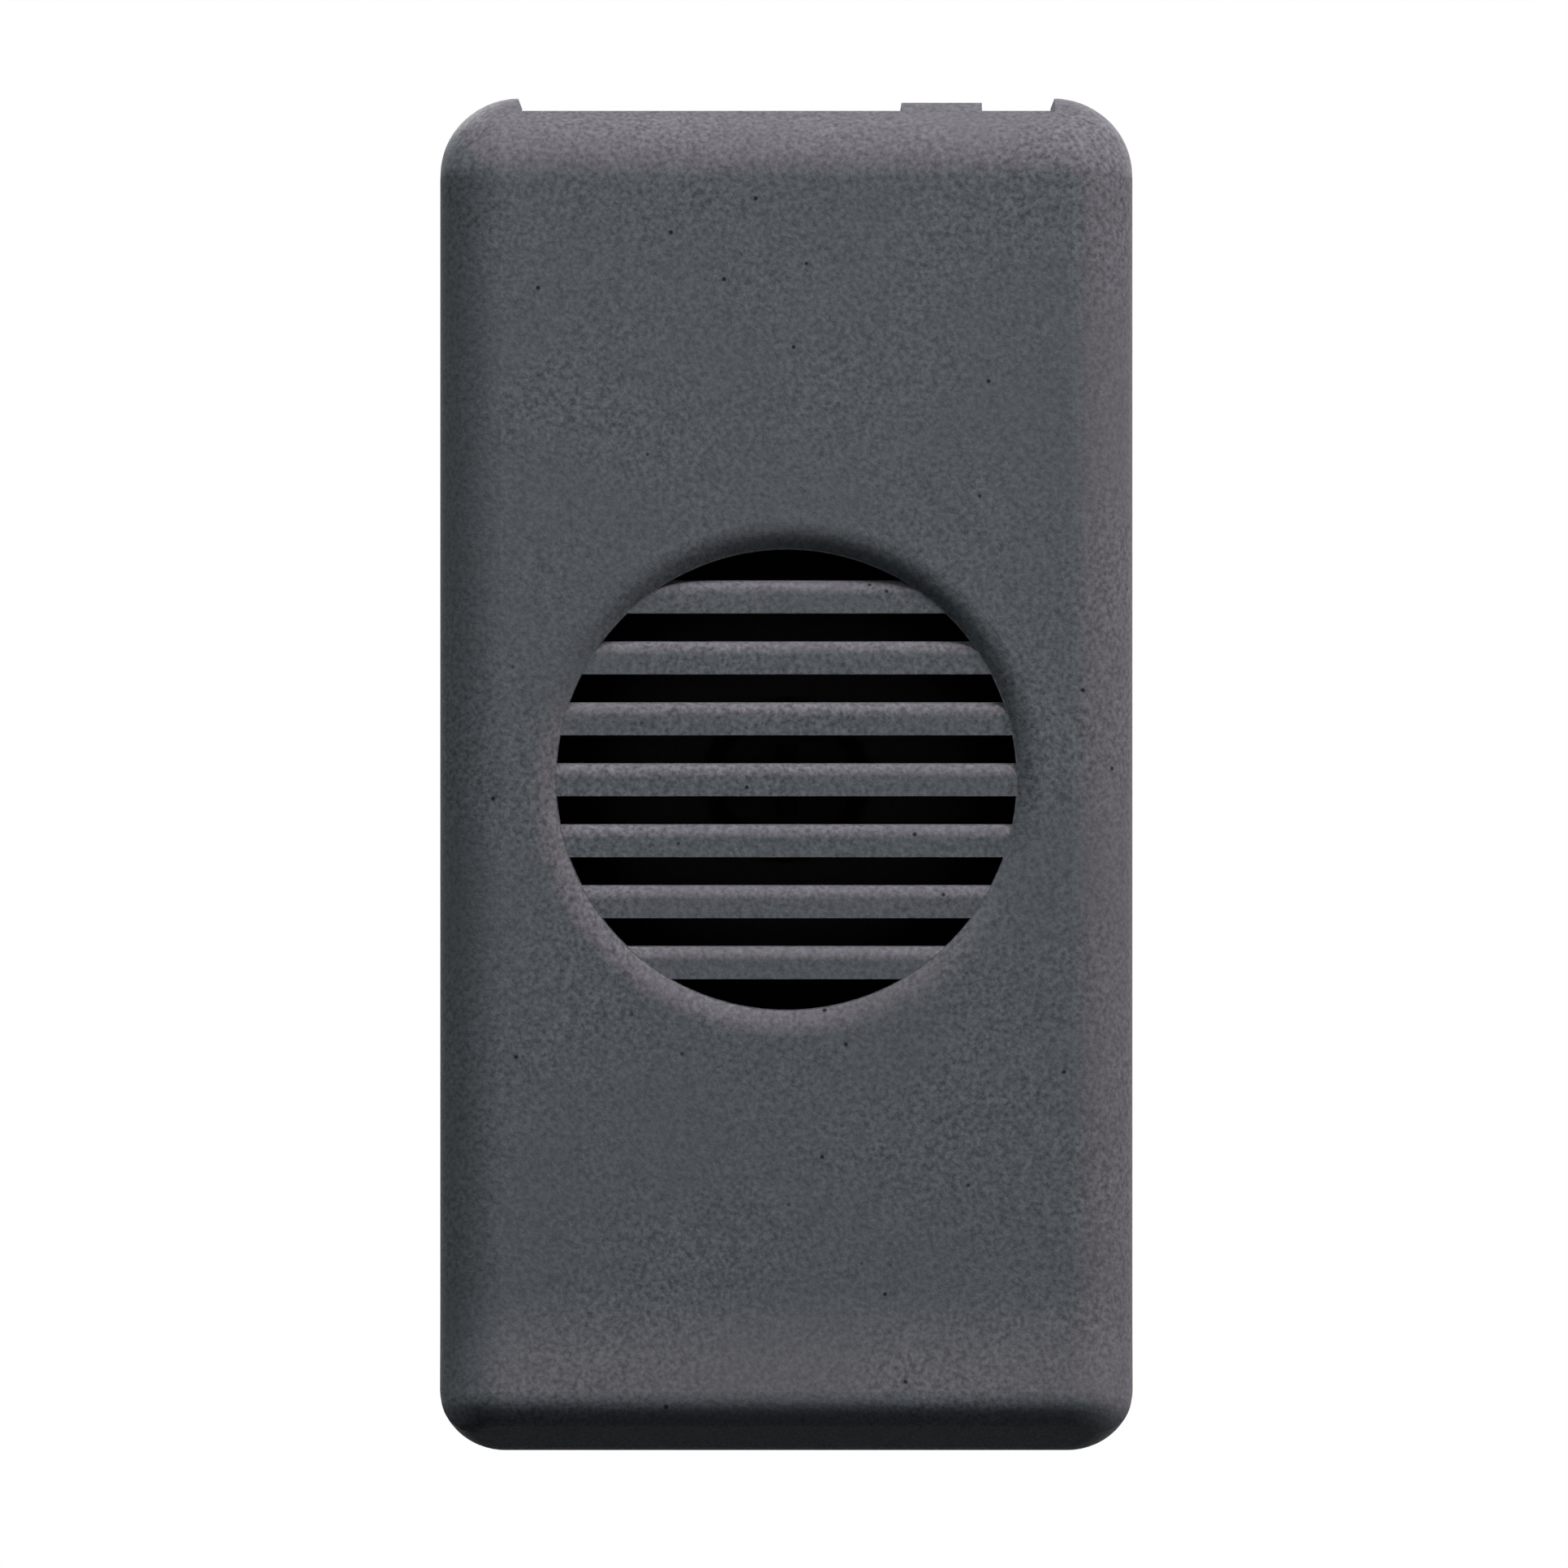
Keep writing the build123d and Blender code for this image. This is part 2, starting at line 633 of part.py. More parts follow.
# Rear plate: closes the casing, and carries the magnet and the terminals
with BuildPart() as rear_plate:
    with BuildSketch(upright(plate_rear_y)):
        oblong(casing_half, casing_rise, casing_drop, casing_corner_radius)
    extrude(amount=plate_thickness)
    fillet(rear_plate.faces().sort_by(Axis.Y)[-1].edges(), plate_edge_radius)

    # Rim that locates it in the casing
    spigot_half = casing_inner_half - slip_gap
    spigot_rise = casing_inner_rise - slip_gap
    spigot_drop = casing_inner_drop - slip_gap
    with BuildSketch(upright(casing_length)):
        oblong(spigot_half, spigot_rise, spigot_drop, inner_corner)
        with Locations((0, (spigot_rise - spigot_drop) / 2)):
            Rectangle(2 * (spigot_half - spigot_wall), spigot_rise + spigot_drop - 2 * spigot_wall,
                      mode=Mode.SUBTRACT)
    extrude(amount=spigot_depth)

    # Hooks that catch in the casing's side windows
    for side in sides:
        finger = sorted((side * (spigot_half - hook_thickness), side * spigot_half))
        catch = sorted((side * (spigot_half - hook_thickness),
                        side * (casing_inner_half + hook_catch)))
        tip_y = casing_length - hook_length
        for height in (hook_z_low, hook_z_high):
            width = (height - hook_width / 2, height + hook_width / 2)
            slab(finger, (tip_y, casing_length), width)
            with BuildSketch(level(width[0])):
                with BuildLine():
                    Polyline((finger[0] if side > 0 else finger[1], tip_y),
                             (side * spigot_half, tip_y),
                             (side * (casing_inner_half + hook_catch_height), tip_y + hook_catch),
                             (side * (casing_inner_half + hook_catch_height),
                              tip_y + hook_catch + hook_catch_height),
                             (finger[0] if side > 0 else finger[1],
                              tip_y + hook_catch + hook_catch_height), close=True)
                make_face()
            extrude(amount=hook_width)

    # Bosses for the yoke, and its sunk screw heads
    yoke_screw_heights = (yoke_screw_z_low, yoke_screw_z_high)
    with BuildSketch(upright(casing_length)):
        with Locations(*[(0, height) for height in yoke_screw_heights]):
            Circle(yoke_boss_radius)
    extrude(amount=yoke_boss_length)
    with BuildSketch(upright(plate_rear_y + overrun)):
        with Locations(*[(0, height) for height in yoke_screw_heights]):
            Circle(yoke_screw_radius + slip_gap)
    extrude(amount=plate_thickness + yoke_boss_length + 2 * overrun, mode=Mode.SUBTRACT)
    with BuildSketch(upright(plate_rear_y + overrun)):
        with Locations(*[(0, height) for height in yoke_screw_heights]):
            Circle(yoke_screw_head_radius + slip_gap)
    extrude(amount=yoke_screw_sink + overrun, mode=Mode.SUBTRACT)

    # Shelf between the armature and the terminals, with the armature's back stop
    shelf_half = spigot_half - touch_gap
    slab((-shelf_half, shelf_half), (shelf_front, casing_length), (shelf_bottom, shelf_top))
    stop_top = (hinge_z + armature_low * cos(tilt) - (hinge_y - shelf_front) * sin(tilt)
                - stop_gap)
    slab((-stop_width / 2, stop_width / 2), (shelf_front, shelf_front + stop_length),
         (shelf_bottom, stop_top))

    # Rails that the terminal cages slide into
    rib_half = cage_inner_x - touch_gap
    lip_low = cage_bottom - touch_gap - rail_lip_thickness
    slab((-rib_half, rib_half), (cage_front_y, casing_length), (lip_low, shelf_bottom))
    slab((-rib_half - rail_lip, rib_half + rail_lip), (cage_front_y, casing_length),
         (lip_low, lip_low + rail_lip_thickness))
    for side in sides:
        rail_inner = cage_outer_x + touch_gap
        slab(sorted((side * rail_inner, side * (rail_inner + rail_wall))),
             (cage_front_y, casing_length), (lip_low, shelf_bottom))
        slab(sorted((side * (rail_inner - rail_lip), side * (rail_inner + rail_wall))),
             (cage_front_y, casing_length), (lip_low, lip_low + rail_lip_thickness))
        notch = sorted((side * (lead_x - lead_radius - lead_notch),
                        side * (shelf_half + overrun)))
        slab(notch, (lead_foot_y - lead_radius - lead_notch, lead_foot_y + lead_radius + lead_notch),
             (shelf_bottom, shelf_top + overrun), Mode.SUBTRACT)

    # Holes for the wire bushes
    with BuildSketch(upright(plate_rear_y + overrun)):
        with Locations((-terminal_x, wire_z), (terminal_x, wire_z)):
            Circle(bush_radius + press_gap)
    extrude(amount=plate_thickness + spigot_depth + 2 * overrun, mode=Mode.SUBTRACT)
save(rear_plate, "rear_plate")


# Wire bushes: each leads a wire from a collar on the rear plate to the mouth of its cage
for side in sides:
    with BuildPart() as wire_bush:
        bush_front = cage_rear_y + touch_gap
        bush_end = plate_rear_y + bush_collar_height
        with BuildSketch(upright(bush_end)):
            with Locations((side * terminal_x, wire_z)):
                Circle(bush_radius)
        extrude(amount=bush_end - bush_front)
        with BuildSketch(upright(bush_end)):
            with Locations((side * terminal_x, wire_z)):
                Circle(bush_radius + bush_collar_reach)
        extrude(amount=bush_collar_height)
        fillet(wire_bush.faces().sort_by(Axis.Y)[-1].edges(), bush_collar_height / 2)
        with BuildSketch(upright(bush_end + overrun)):
            with Locations((side * terminal_x, wire_z)):
                Circle(wire_hole_radius)
        extrude(amount=bush_end - bush_front + 2 * overrun, mode=Mode.SUBTRACT)
        mouth = wire_bush.faces().sort_by(Axis.Y)[-1].edges().sort_by(SortBy.RADIUS)[0]
        chamfer(mouth, bush_mouth_chamfer)
    save(wire_bush, f"wire_bush_{side_names[side]}")


# Gong: a shallow steel cup
with BuildPart() as gong:
    with BuildSketch(Plane.XY):
        with BuildLine():
            hole = gong_screw_radius + slip_gap
            skirt_y = gong_rim_y - gong_skirt
            inner_crown_y = gong_crown_y + gong_thickness
            inner_radius = gong_radius - gong_thickness
            EllipticalCenterArc((gong_flat_radius, skirt_y), gong_radius - gong_flat_radius,
                                skirt_y - gong_crown_y, start_angle=270)
            EllipticalCenterArc((gong_flat_radius, skirt_y), inner_radius - gong_flat_radius,
                                skirt_y - inner_crown_y, start_angle=270)
            Polyline((gong_radius, skirt_y), (gong_radius, gong_rim_y), (inner_radius, gong_rim_y),
                     (inner_radius, skirt_y))
            Polyline((gong_flat_radius, gong_crown_y), (hole, gong_crown_y), (hole, inner_crown_y),
                     (gong_flat_radius, inner_crown_y))
        make_face()
    revolve(axis=Axis.Y)
save(gong, "gong")


# Post that carries the gong, riveted into the casing's wall and tapped for the gong's screw
screw_tip_y = gong_crown_y - front_washer_thickness + gong_screw_length
with BuildPart() as gong_post:
    with BuildSketch(upright(post_rear_y)):
        Circle(post_radius)
    extrude(amount=post_rear_y - post_front_y)
    with BuildSketch(upright(sound_wall_rear)):
        Circle(post_spigot_radius)
    extrude(amount=sound_wall_rear - post_rear_y)
    with BuildSketch(upright(sound_wall_rear + post_rivet_height)):
        Circle(post_rivet_radius)
    extrude(amount=post_rivet_height)
    chamfer(gong_post.faces().sort_by(Axis.Y)[-1].edges(), post_rivet_height / 2)
    with BuildSketch(upright(screw_tip_y + slip_gap)):
        Circle(gong_screw_radius + thread_gap)
    extrude(amount=screw_tip_y + slip_gap - post_front_y, mode=Mode.SUBTRACT)
save(gong_post, "gong_post")

with BuildPart() as gong_washers:
    for rear_y, thickness in ((post_front_y, rear_washer_thickness),
                              (gong_crown_y, front_washer_thickness)):
        with BuildSketch(upright(rear_y)):
            Circle(washer_radius)
            Circle(gong_screw_radius + slip_gap, mode=Mode.SUBTRACT)
        extrude(amount=thickness)
save(gong_washers, "gong_washers")


# Cross and slot in a screw head whose face is at the plane's origin
def driver_recess(face, head_radius):
    with BuildSketch(face) as recess:
        Rectangle(2 * head_radius + overrun, driver_slot_width)
        Rectangle(driver_slot_width, head_radius)
    extrude(recess.sketch, amount=-driver_slot_depth, mode=Mode.SUBTRACT)


screw_seat_y = gong_crown_y - front_washer_thickness
with BuildPart() as gong_screw:
    with BuildSketch(upright(screw_tip_y)):
        Circle(gong_screw_radius)
    extrude(amount=gong_screw_length)
    with BuildSketch(upright(screw_seat_y)):
        Circle(gong_screw_head_radius)
    extrude(amount=gong_screw_head_height)
    head_face = gong_screw.faces().sort_by(Axis.Y)[0]
    fillet(head_face.edges(), gong_screw_head_height / 3)
    driver_recess(upright(screw_seat_y - gong_screw_head_height), gong_screw_head_radius)
save(gong_screw, "gong_screw")


# Yoke: an angle of soft iron, its leg down the back of the coil and its arm over the top
with BuildPart() as yoke:
    arm_front = core_y - yoke_leg_front
    with BuildSketch(Plane.YZ) as yoke_side:
        with BuildLine():
            Polyline((yoke_rear_y, yoke_foot), (yoke_rear_y, yoke_top), (arm_front, yoke_top),
                     (arm_front, yoke_top - yoke_thickness),
                     (yoke_front_y, yoke_top - yoke_thickness), (yoke_front_y, yoke_foot),
                     close=True)
        make_face()
        outer_bend = yoke_side.vertices().group_by(Axis.Y)[-1].sort_by(Axis.X)[-1]
        fillet(outer_bend, yoke_bend_radius)
    extrude(amount=yoke_width / 2, both=True)
    with BuildSketch(level(yoke_top + overrun)):
        with Locations((0, core_y)):
            Circle(core_spigot_radius + press_gap)
    extrude(amount=-yoke_thickness - 2 * overrun, mode=Mode.SUBTRACT)
    with BuildSketch(upright(yoke_rear_y + overrun)):
        with Locations(*[(0, height) for height in yoke_screw_heights]):
            Circle(yoke_screw_radius + thread_gap)
        with Locations(*[(side * rivet_half_spacing, yoke_foot + yoke_rivet_up) for side in sides]):
            Circle(rivet_radius + press_gap)
    extrude(amount=yoke_thickness + 2 * overrun, mode=Mode.SUBTRACT)
save(yoke, "yoke")

with BuildPart() as core:
    with BuildSketch(level(yoke_foot)):
        with Locations((0, core_y)):
            Circle(pole_radius)
    extrude(amount=pole_thickness)
    with BuildSketch(level(yoke_foot)):
        with Locations((0, core_y)):
            Circle(core_radius)
    extrude(amount=yoke_height - yoke_thickness)
    with BuildSketch(level(yoke_top)):
        with Locations((0, core_y)):
            Circle(core_spigot_radius)
    extrude(amount=-yoke_thickness)
    with BuildSketch(level(yoke_foot)):
        with Locations((0, core_y)):
            Circle(pole_pin_radius + press_gap)
    extrude(amount=pole_pin_length - pole_pin_proud, mode=Mode.SUBTRACT)
save(core, "core")

with BuildPart() as pole_pin:
    with BuildSketch(level(yoke_foot - pole_pin_proud)):
        with Locations((0, core_y)):
            Circle(pole_pin_radius)
    extrude(amount=pole_pin_length)
save(pole_pin, "pole_pin")


# Bobbin: a tube and two flanges, the lower one with a lug on each side for a pin
with BuildPart() as bobbin:
    with BuildSketch(level(bobbin_bottom)):
        with Locations((0, core_y)):
            Circle(bobbin_tube_radius)
    extrude(amount=bobbin_top - bobbin_bottom)
    for height in (bobbin_bottom, bobbin_top - bobbin_flange_thickness):
        with BuildSketch(level(height)):
            with Locations((0, core_y)):
                RectangleRounded(2 * bobbin_flange_half, 2 * bobbin_flange_half,
                                 bobbin_flange_corner)
        extrude(amount=bobbin_flange_thickness)
    slab((-lug_half, lug_half), (pin_y - lug_width / 2, pin_y + lug_width / 2),
         (bobbin_bottom, bobbin_bottom + bobbin_flange_thickness))
    with BuildSketch(level(bobbin_bottom - overrun)):
        with Locations((0, core_y)):
            Circle(core_radius + touch_gap)
    extrude(amount=bobbin_top - bobbin_bottom + 2 * overrun, mode=Mode.SUBTRACT)
    with BuildSketch(level(bobbin_bottom - overrun)):
        with Locations((-lead_x, pin_y), (lead_x, pin_y)):
            Circle(pin_radius + press_gap)
    extrude(amount=bobbin_flange_thickness + 2 * overrun, mode=Mode.SUBTRACT)
save(bobbin, "bobbin")


# A ring about the core between the bobbin's flanges
def coil_ring(inner_radius, outer_radius):
    with BuildSketch(level(winding_bottom)) as ring:
        with Locations((0, core_y)):
            Circle(outer_radius)
            Circle(inner_radius, mode=Mode.SUBTRACT)
    extrude(ring.sketch, amount=winding_top - winding_bottom)


with BuildPart() as winding:
    coil_ring(bobbin_tube_radius + touch_gap, winding_radius)
save(winding, "winding")

with BuildPart() as winding_tape:
    coil_ring(winding_radius + press_gap, winding_radius + press_gap + tape_thickness)
save(winding_tape, "winding_tape")

with BuildPart() as coil_pins:
    with BuildSketch(level(bobbin_bottom - pin_below)):
        with Locations((-lead_x, pin_y), (lead_x, pin_y)):
            Circle(pin_radius)
    extrude(amount=pin_below + bobbin_flange_thickness + pin_above)
save(coil_pins, "coil_pins")

with BuildPart() as yoke_screws:
    for height in yoke_screw_heights:
        head_seat = plate_rear_y - yoke_screw_sink
        with BuildSketch(upright(head_seat)):
            with Locations((0, height)):
                Circle(yoke_screw_radius)
        extrude(amount=head_seat - yoke_front_y)
        with BuildSketch(upright(head_seat + yoke_screw_head_height)):
            with Locations((0, height)):
                Circle(yoke_screw_head_radius)
        extrude(amount=yoke_screw_head_height)
        face = Plane(origin=(0, head_seat + yoke_screw_head_height, height), x_dir=(1, 0, 0),
                     z_dir=(0, 1, 0))
        driver_recess(face, yoke_screw_head_radius)
save(yoke_screws, "yoke_screws")


# Armature: a soft iron plate with a narrow nose for the hammer
with BuildPart() as armature:
    with BuildSketch(swing.offset(-armature_gap)) as armature_plan:
        with Locations((0, -armature_rear)):
            Rectangle(armature_width, armature_length, align=(Align.CENTER, Align.MAX))
        fillet(armature_plan.vertices(), armature_corner)
        with Locations((0, armature_front + armature_corner)):
            Rectangle(armature_nose_width, armature_nose_length, align=(Align.CENTER, Align.MAX))
        with Locations(*[(side * rivet_half_spacing, -armature_rivet_along) for side in sides]):
            Circle(rivet_radius + press_gap, mode=Mode.SUBTRACT)
        with Locations((0, holder_front + holder_length / 2)):
            Circle(holder_spigot_radius + press_gap, mode=Mode.SUBTRACT)
    extrude(amount=-armature_thickness)
save(armature, "armature")


# A point in the armature's plane: v runs from the hinge to the rear, w upwards
def on_swing(v, w, x=0):
    return swing.from_local_coords((x, v, w))


# Leaf spring: riveted to the back of the yoke, bent round its foot and riveted under the armature
with BuildPart() as armature_spring:
    leaf_y = yoke_rear_y + spring_thickness / 2
    leaf_w = armature_low - spring_thickness / 2
    corner_v = (leaf_y - hinge_y + leaf_w * sin(tilt)) / cos(tilt)
    corner = on_swing(corner_v, leaf_w)
    tip = on_swing(-spring_along, leaf_w)
    with BuildSketch(Plane.YZ):
        with BuildLine():
            FilletPolyline((leaf_y, yoke_foot + spring_up), (corner.Y, corner.Z), (tip.Y, tip.Z),
                           radius=spring_bend_radius)
        trace(line_width=spring_thickness)
    extrude(amount=spring_width / 2, both=True)
    with BuildSketch(upright(yoke_rear_y + overrun)):
        with Locations(*[(side * rivet_half_spacing, yoke_foot + yoke_rivet_up) for side in sides]):
            Circle(rivet_radius + press_gap)
    extrude(amount=2 * overrun, mode=Mode.SUBTRACT)
    with BuildSketch(swing.offset(armature_low + overrun / 2)):
        with Locations(*[(side * rivet_half_spacing, -armature_rivet_along) for side in sides]):
            Circle(rivet_radius + press_gap)
    extrude(amount=-2 * overrun, mode=Mode.SUBTRACT)
save(armature_spring, "armature_spring")

with BuildPart() as yoke_rivets:
    places = [(side * rivet_half_spacing, yoke_foot + yoke_rivet_up) for side in sides]
    with BuildSketch(upright(yoke_rear_y + spring_thickness)):
        with Locations(*places):
            Circle(rivet_radius)
    extrude(amount=spring_thickness + yoke_thickness)
    with BuildSketch(upright(yoke_rear_y + spring_thickness + rivet_head_height)):
        with Locations(*places):
            Circle(rivet_head_radius)
    extrude(amount=rivet_head_height)
    chamfer(yoke_rivets.faces().sort_by(Axis.Y)[-2:].edges(), rivet_head_height / 2)
save(yoke_rivets, "yoke_rivets")

with BuildPart() as armature_rivets:
    places = [(side * rivet_half_spacing, -armature_rivet_along) for side in sides]
    with BuildSketch(swing.offset(-armature_gap)):
        with Locations(*places):
            Circle(rivet_radius)
    extrude(amount=-armature_thickness - spring_thickness)
    with BuildSketch(swing.offset(armature_low - spring_thickness)):
        with Locations(*places):
            Circle(rivet_head_radius)
    extrude(amount=-rivet_head_height)
    chamfer(armature_rivets.faces().sort_by(Axis.Z)[:2].edges(), rivet_head_height / 2)
save(armature_rivets, "armature_rivets")


# Holder: a brass block riveted under the armature's nose, bored for the rod
rod_rear_plane = Plane(origin=on_swing(holder_rear, rod_w), x_dir=(1, 0, 0), z_dir=-swing.y_dir)
with BuildPart() as rod_holder:
    with BuildSketch(swing.offset(armature_low)):
        with Locations((0, holder_front)):
            Rectangle(holder_width, holder_length, align=(Align.CENTER, Align.MIN))
    extrude(amount=-holder_height)
    with BuildSketch(swing.offset(-armature_gap)):
        with Locations((0, holder_front + holder_length / 2)):
            Circle(holder_spigot_radius)
    extrude(amount=-armature_thickness)
    with BuildSketch(rod_rear_plane.offset(-overrun)):
        Circle(rod_radius + press_gap)
    extrude(amount=holder_length + 2 * overrun, mode=Mode.SUBTRACT)
save(rod_holder, "rod_holder")

# Hammer's rod: a wire that drops from the holder to the height of the gong's rim
with BuildPart() as hammer_rod:
    with BuildLine():
        FilletPolyline(on_swing(holder_rear, rod_w), on_swing(rod_bend_v, rod_w),
                       on_swing(rod_low_v, head_w), on_swing(head_front_v - rod_tail, head_w),
                       radius=rod_bend_radius)
    with BuildSketch(rod_rear_plane):
        Circle(rod_radius)
    sweep()
save(hammer_rod, "hammer_rod")

with BuildPart() as hammer_head:
    with BuildSketch(Plane(origin=on_swing(head_rear_v, head_w), x_dir=(1, 0, 0),
                           z_dir=-swing.y_dir)) as head_section:
        Circle(head_radius)
    extrude(amount=head_length)
    chamfer(hammer_head.edges(), head_chamfer)
    with BuildSketch(Plane(origin=on_swing(head_rear_v + overrun, head_w), x_dir=(1, 0, 0),
                           z_dir=-swing.y_dir)):
        Circle(rod_radius + press_gap)
    extrude(amount=head_length + 2 * overrun, mode=Mode.SUBTRACT)
save(hammer_head, "hammer_head")


# Terminals: for each wire a folded brass cage, a clamp that rises in it, and the screw below
clamp_half = cage_width / 2 - cage_side_wall - slip_gap
clamp_half_length = cage_length / 2 - 2 * slip_gap
for side in sides:
    name = side_names[side]
    centre_x = side * terminal_x
    with BuildPart() as terminal_cage:
        cage_x = (centre_x - cage_width / 2, centre_x + cage_width / 2)
        slab(cage_x, (cage_front_y, cage_rear_y), (cage_bottom, cage_top))
        fillet(terminal_cage.edges().filter_by(Axis.Y), cage_side_wall / 2)
        slab((cage_x[0] + cage_side_wall, cage_x[1] - cage_side_wall),
             (cage_front_y - overrun, cage_rear_y + overrun), (cage_floor, cage_ceiling),
             Mode.SUBTRACT)
        with BuildSketch(level(cage_bottom - overrun)):
            with Locations((centre_x, screw_y)):
                Circle(terminal_screw_radius + thread_gap)
        extrude(amount=cage_bottom_wall + 2 * overrun - touch_gap, mode=Mode.SUBTRACT)
    save(terminal_cage, f"terminal_cage_{name}")

    with BuildPart() as clamp_plate:
        slab((centre_x - clamp_half, centre_x + clamp_half),
             (screw_y - clamp_half_length, screw_y + clamp_half_length), (clamp_bottom, clamp_top))
        with BuildSketch(level(clamp_bottom - overrun)):
            with Locations((centre_x, screw_y)):
                Circle(terminal_tip_radius + thread_gap)
        extrude(amount=clamp_thickness + 2 * overrun, mode=Mode.SUBTRACT)
        for end in sides:
            for index in range(clamp_groove_count - 1):
                groove_y = screw_y + end * (clamp_half_length - (2 * index + 2) * clamp_groove)
                slab((centre_x - clamp_half - overrun, centre_x + clamp_half + overrun),
                     (groove_y - clamp_groove / 2, groove_y + clamp_groove / 2),
                     (clamp_top - clamp_groove / 2, clamp_top + overrun), Mode.SUBTRACT)
    save(clamp_plate, f"clamp_plate_{name}")

    with BuildPart() as terminal_screw:
        shank_top = clamp_bottom - touch_gap
        spun_low = clamp_top + touch_gap
        stack = ((terminal_head_top - terminal_head_height, terminal_head_top, terminal_head_radius),
                 (terminal_head_top, shank_top, terminal_screw_radius),
                 (shank_top, spun_low, terminal_tip_radius),
                 (spun_low, spun_low + terminal_spun_height, terminal_spun_radius))
        for low, high, radius in stack:
            with BuildSketch(level(low)):
                with Locations((centre_x, screw_y)):
                    Circle(radius)
            extrude(amount=high - low)
        head_rim = terminal_screw.faces().sort_by(Axis.Z)[0].edges()
        chamfer(head_rim, terminal_head_height / 6)
        face = Plane(origin=(centre_x, screw_y, terminal_head_top - terminal_head_height),
                     x_dir=(1, 0, 0), z_dir=(0, 0, -1))
        driver_recess(face, terminal_head_radius)
    save(terminal_screw, f"terminal_screw_{name}")

    # Insulated lead from the coil's pin down to the cage
    with BuildPart() as coil_lead:
        wire_x = side * lead_x
        lead_top = bobbin_bottom - pin_below
        with BuildLine():
            FilletPolyline((wire_x, pin_y, lead_top), (wire_x, pin_y, lead_top - lead_fall),
                           (wire_x, lead_foot_y, lead_top - lead_fall - lead_slant),
                           (wire_x, lead_foot_y, cage_top), radius=lead_bend_radius)
        with BuildSketch(Plane(origin=(wire_x, pin_y, lead_top), x_dir=(1, 0, 0),
                               z_dir=(0, 0, -1))):
            Circle(lead_radius)
        sweep()
    save(coil_lead, f"coil_lead_{name}")
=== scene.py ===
from math import cos, pi, radians, sin, sqrt, tan

import bmesh
import bpy
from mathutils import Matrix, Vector


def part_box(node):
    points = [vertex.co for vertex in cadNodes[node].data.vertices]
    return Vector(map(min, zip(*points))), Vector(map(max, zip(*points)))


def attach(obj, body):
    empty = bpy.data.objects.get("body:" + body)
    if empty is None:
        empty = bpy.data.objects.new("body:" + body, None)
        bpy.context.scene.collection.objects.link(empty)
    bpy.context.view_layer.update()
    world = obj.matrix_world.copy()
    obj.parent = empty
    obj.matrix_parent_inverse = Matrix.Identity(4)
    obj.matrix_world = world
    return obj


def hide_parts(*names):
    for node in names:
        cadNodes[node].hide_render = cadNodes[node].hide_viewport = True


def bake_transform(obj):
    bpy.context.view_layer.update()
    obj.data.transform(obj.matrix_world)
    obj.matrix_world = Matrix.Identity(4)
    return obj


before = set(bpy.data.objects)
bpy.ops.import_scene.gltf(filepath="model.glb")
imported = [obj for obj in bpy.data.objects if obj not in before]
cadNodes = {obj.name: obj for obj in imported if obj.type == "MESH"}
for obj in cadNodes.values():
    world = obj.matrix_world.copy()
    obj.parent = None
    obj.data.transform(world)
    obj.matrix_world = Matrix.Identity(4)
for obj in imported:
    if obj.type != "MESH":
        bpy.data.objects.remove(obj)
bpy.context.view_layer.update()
mm = 0.001
print("frame in place,", len(cadNodes), "nodes")


# Camera, straight on to the grille. The picture is "across" wide at the depth of the outline.
cameraValues = {"lens": 300, "sensor": 36, "across": 50.93 * mm, "outlineDepth": -6.0 * mm,
                "aimX": -0.075 * mm, "aimZ": -0.14 * mm, "clipStart": 10 * mm, "tilt": 90}
cameraBack = cameraValues["across"] * cameraValues["lens"] / cameraValues["sensor"]
cameraData = bpy.data.cameras.new("photoCamera")
cameraData.lens = cameraValues["lens"]
cameraData.sensor_width = cameraValues["sensor"]
cameraData.clip_start = cameraValues["clipStart"]
photoCamera = bpy.data.objects.new("photoCamera", cameraData)
photoCamera.location = (cameraValues["aimX"], cameraValues["outlineDepth"] - cameraBack,
                        cameraValues["aimZ"])
photoCamera.rotation_euler = (radians(cameraValues["tilt"]), 0, 0)
bpy.context.scene.collection.objects.link(photoCamera)
bpy.context.scene.camera = photoCamera
bpy.context.scene.view_settings.view_transform = "Standard"


# Soft lamps. Angles are in degrees, "away" and "size" in metres. Level 1 is the light at which a
# face turned to the lamp shows its colour as written.
lampValues = {
    "keyRight": {"azimuth": 50, "elevation": 55, "away": 0.36, "size": 0.13, "level": 0.99,
                 "tint": (1.0, 0.97, 0.975)},
    "overhead": {"azimuth": 5, "elevation": 68, "away": 0.42, "size": 0.13, "level": 0.68,
                 "tint": (1.0, 0.93, 0.94)},
    "sideRight": {"azimuth": 76, "elevation": 1, "away": 0.45, "size": 0.14, "level": 0.42,
                  "tint": (1.0, 0.96, 0.965)},
    "fillLeft": {"azimuth": -58, "elevation": 35, "away": 0.60, "size": 0.25, "level": 0.265,
                 "tint": (0.92, 1.0, 0.99)},
    "rearLeft": {"azimuth": -160, "elevation": 28, "away": 0.60, "size": 0.30, "level": 0.70,
                 "tint": (1.0, 1.0, 1.0)},
    "rearRight": {"azimuth": 155, "elevation": 20, "away": 0.60, "size": 0.30, "level": 0.30,
                  "tint": (1.0, 1.0, 1.0)},
}
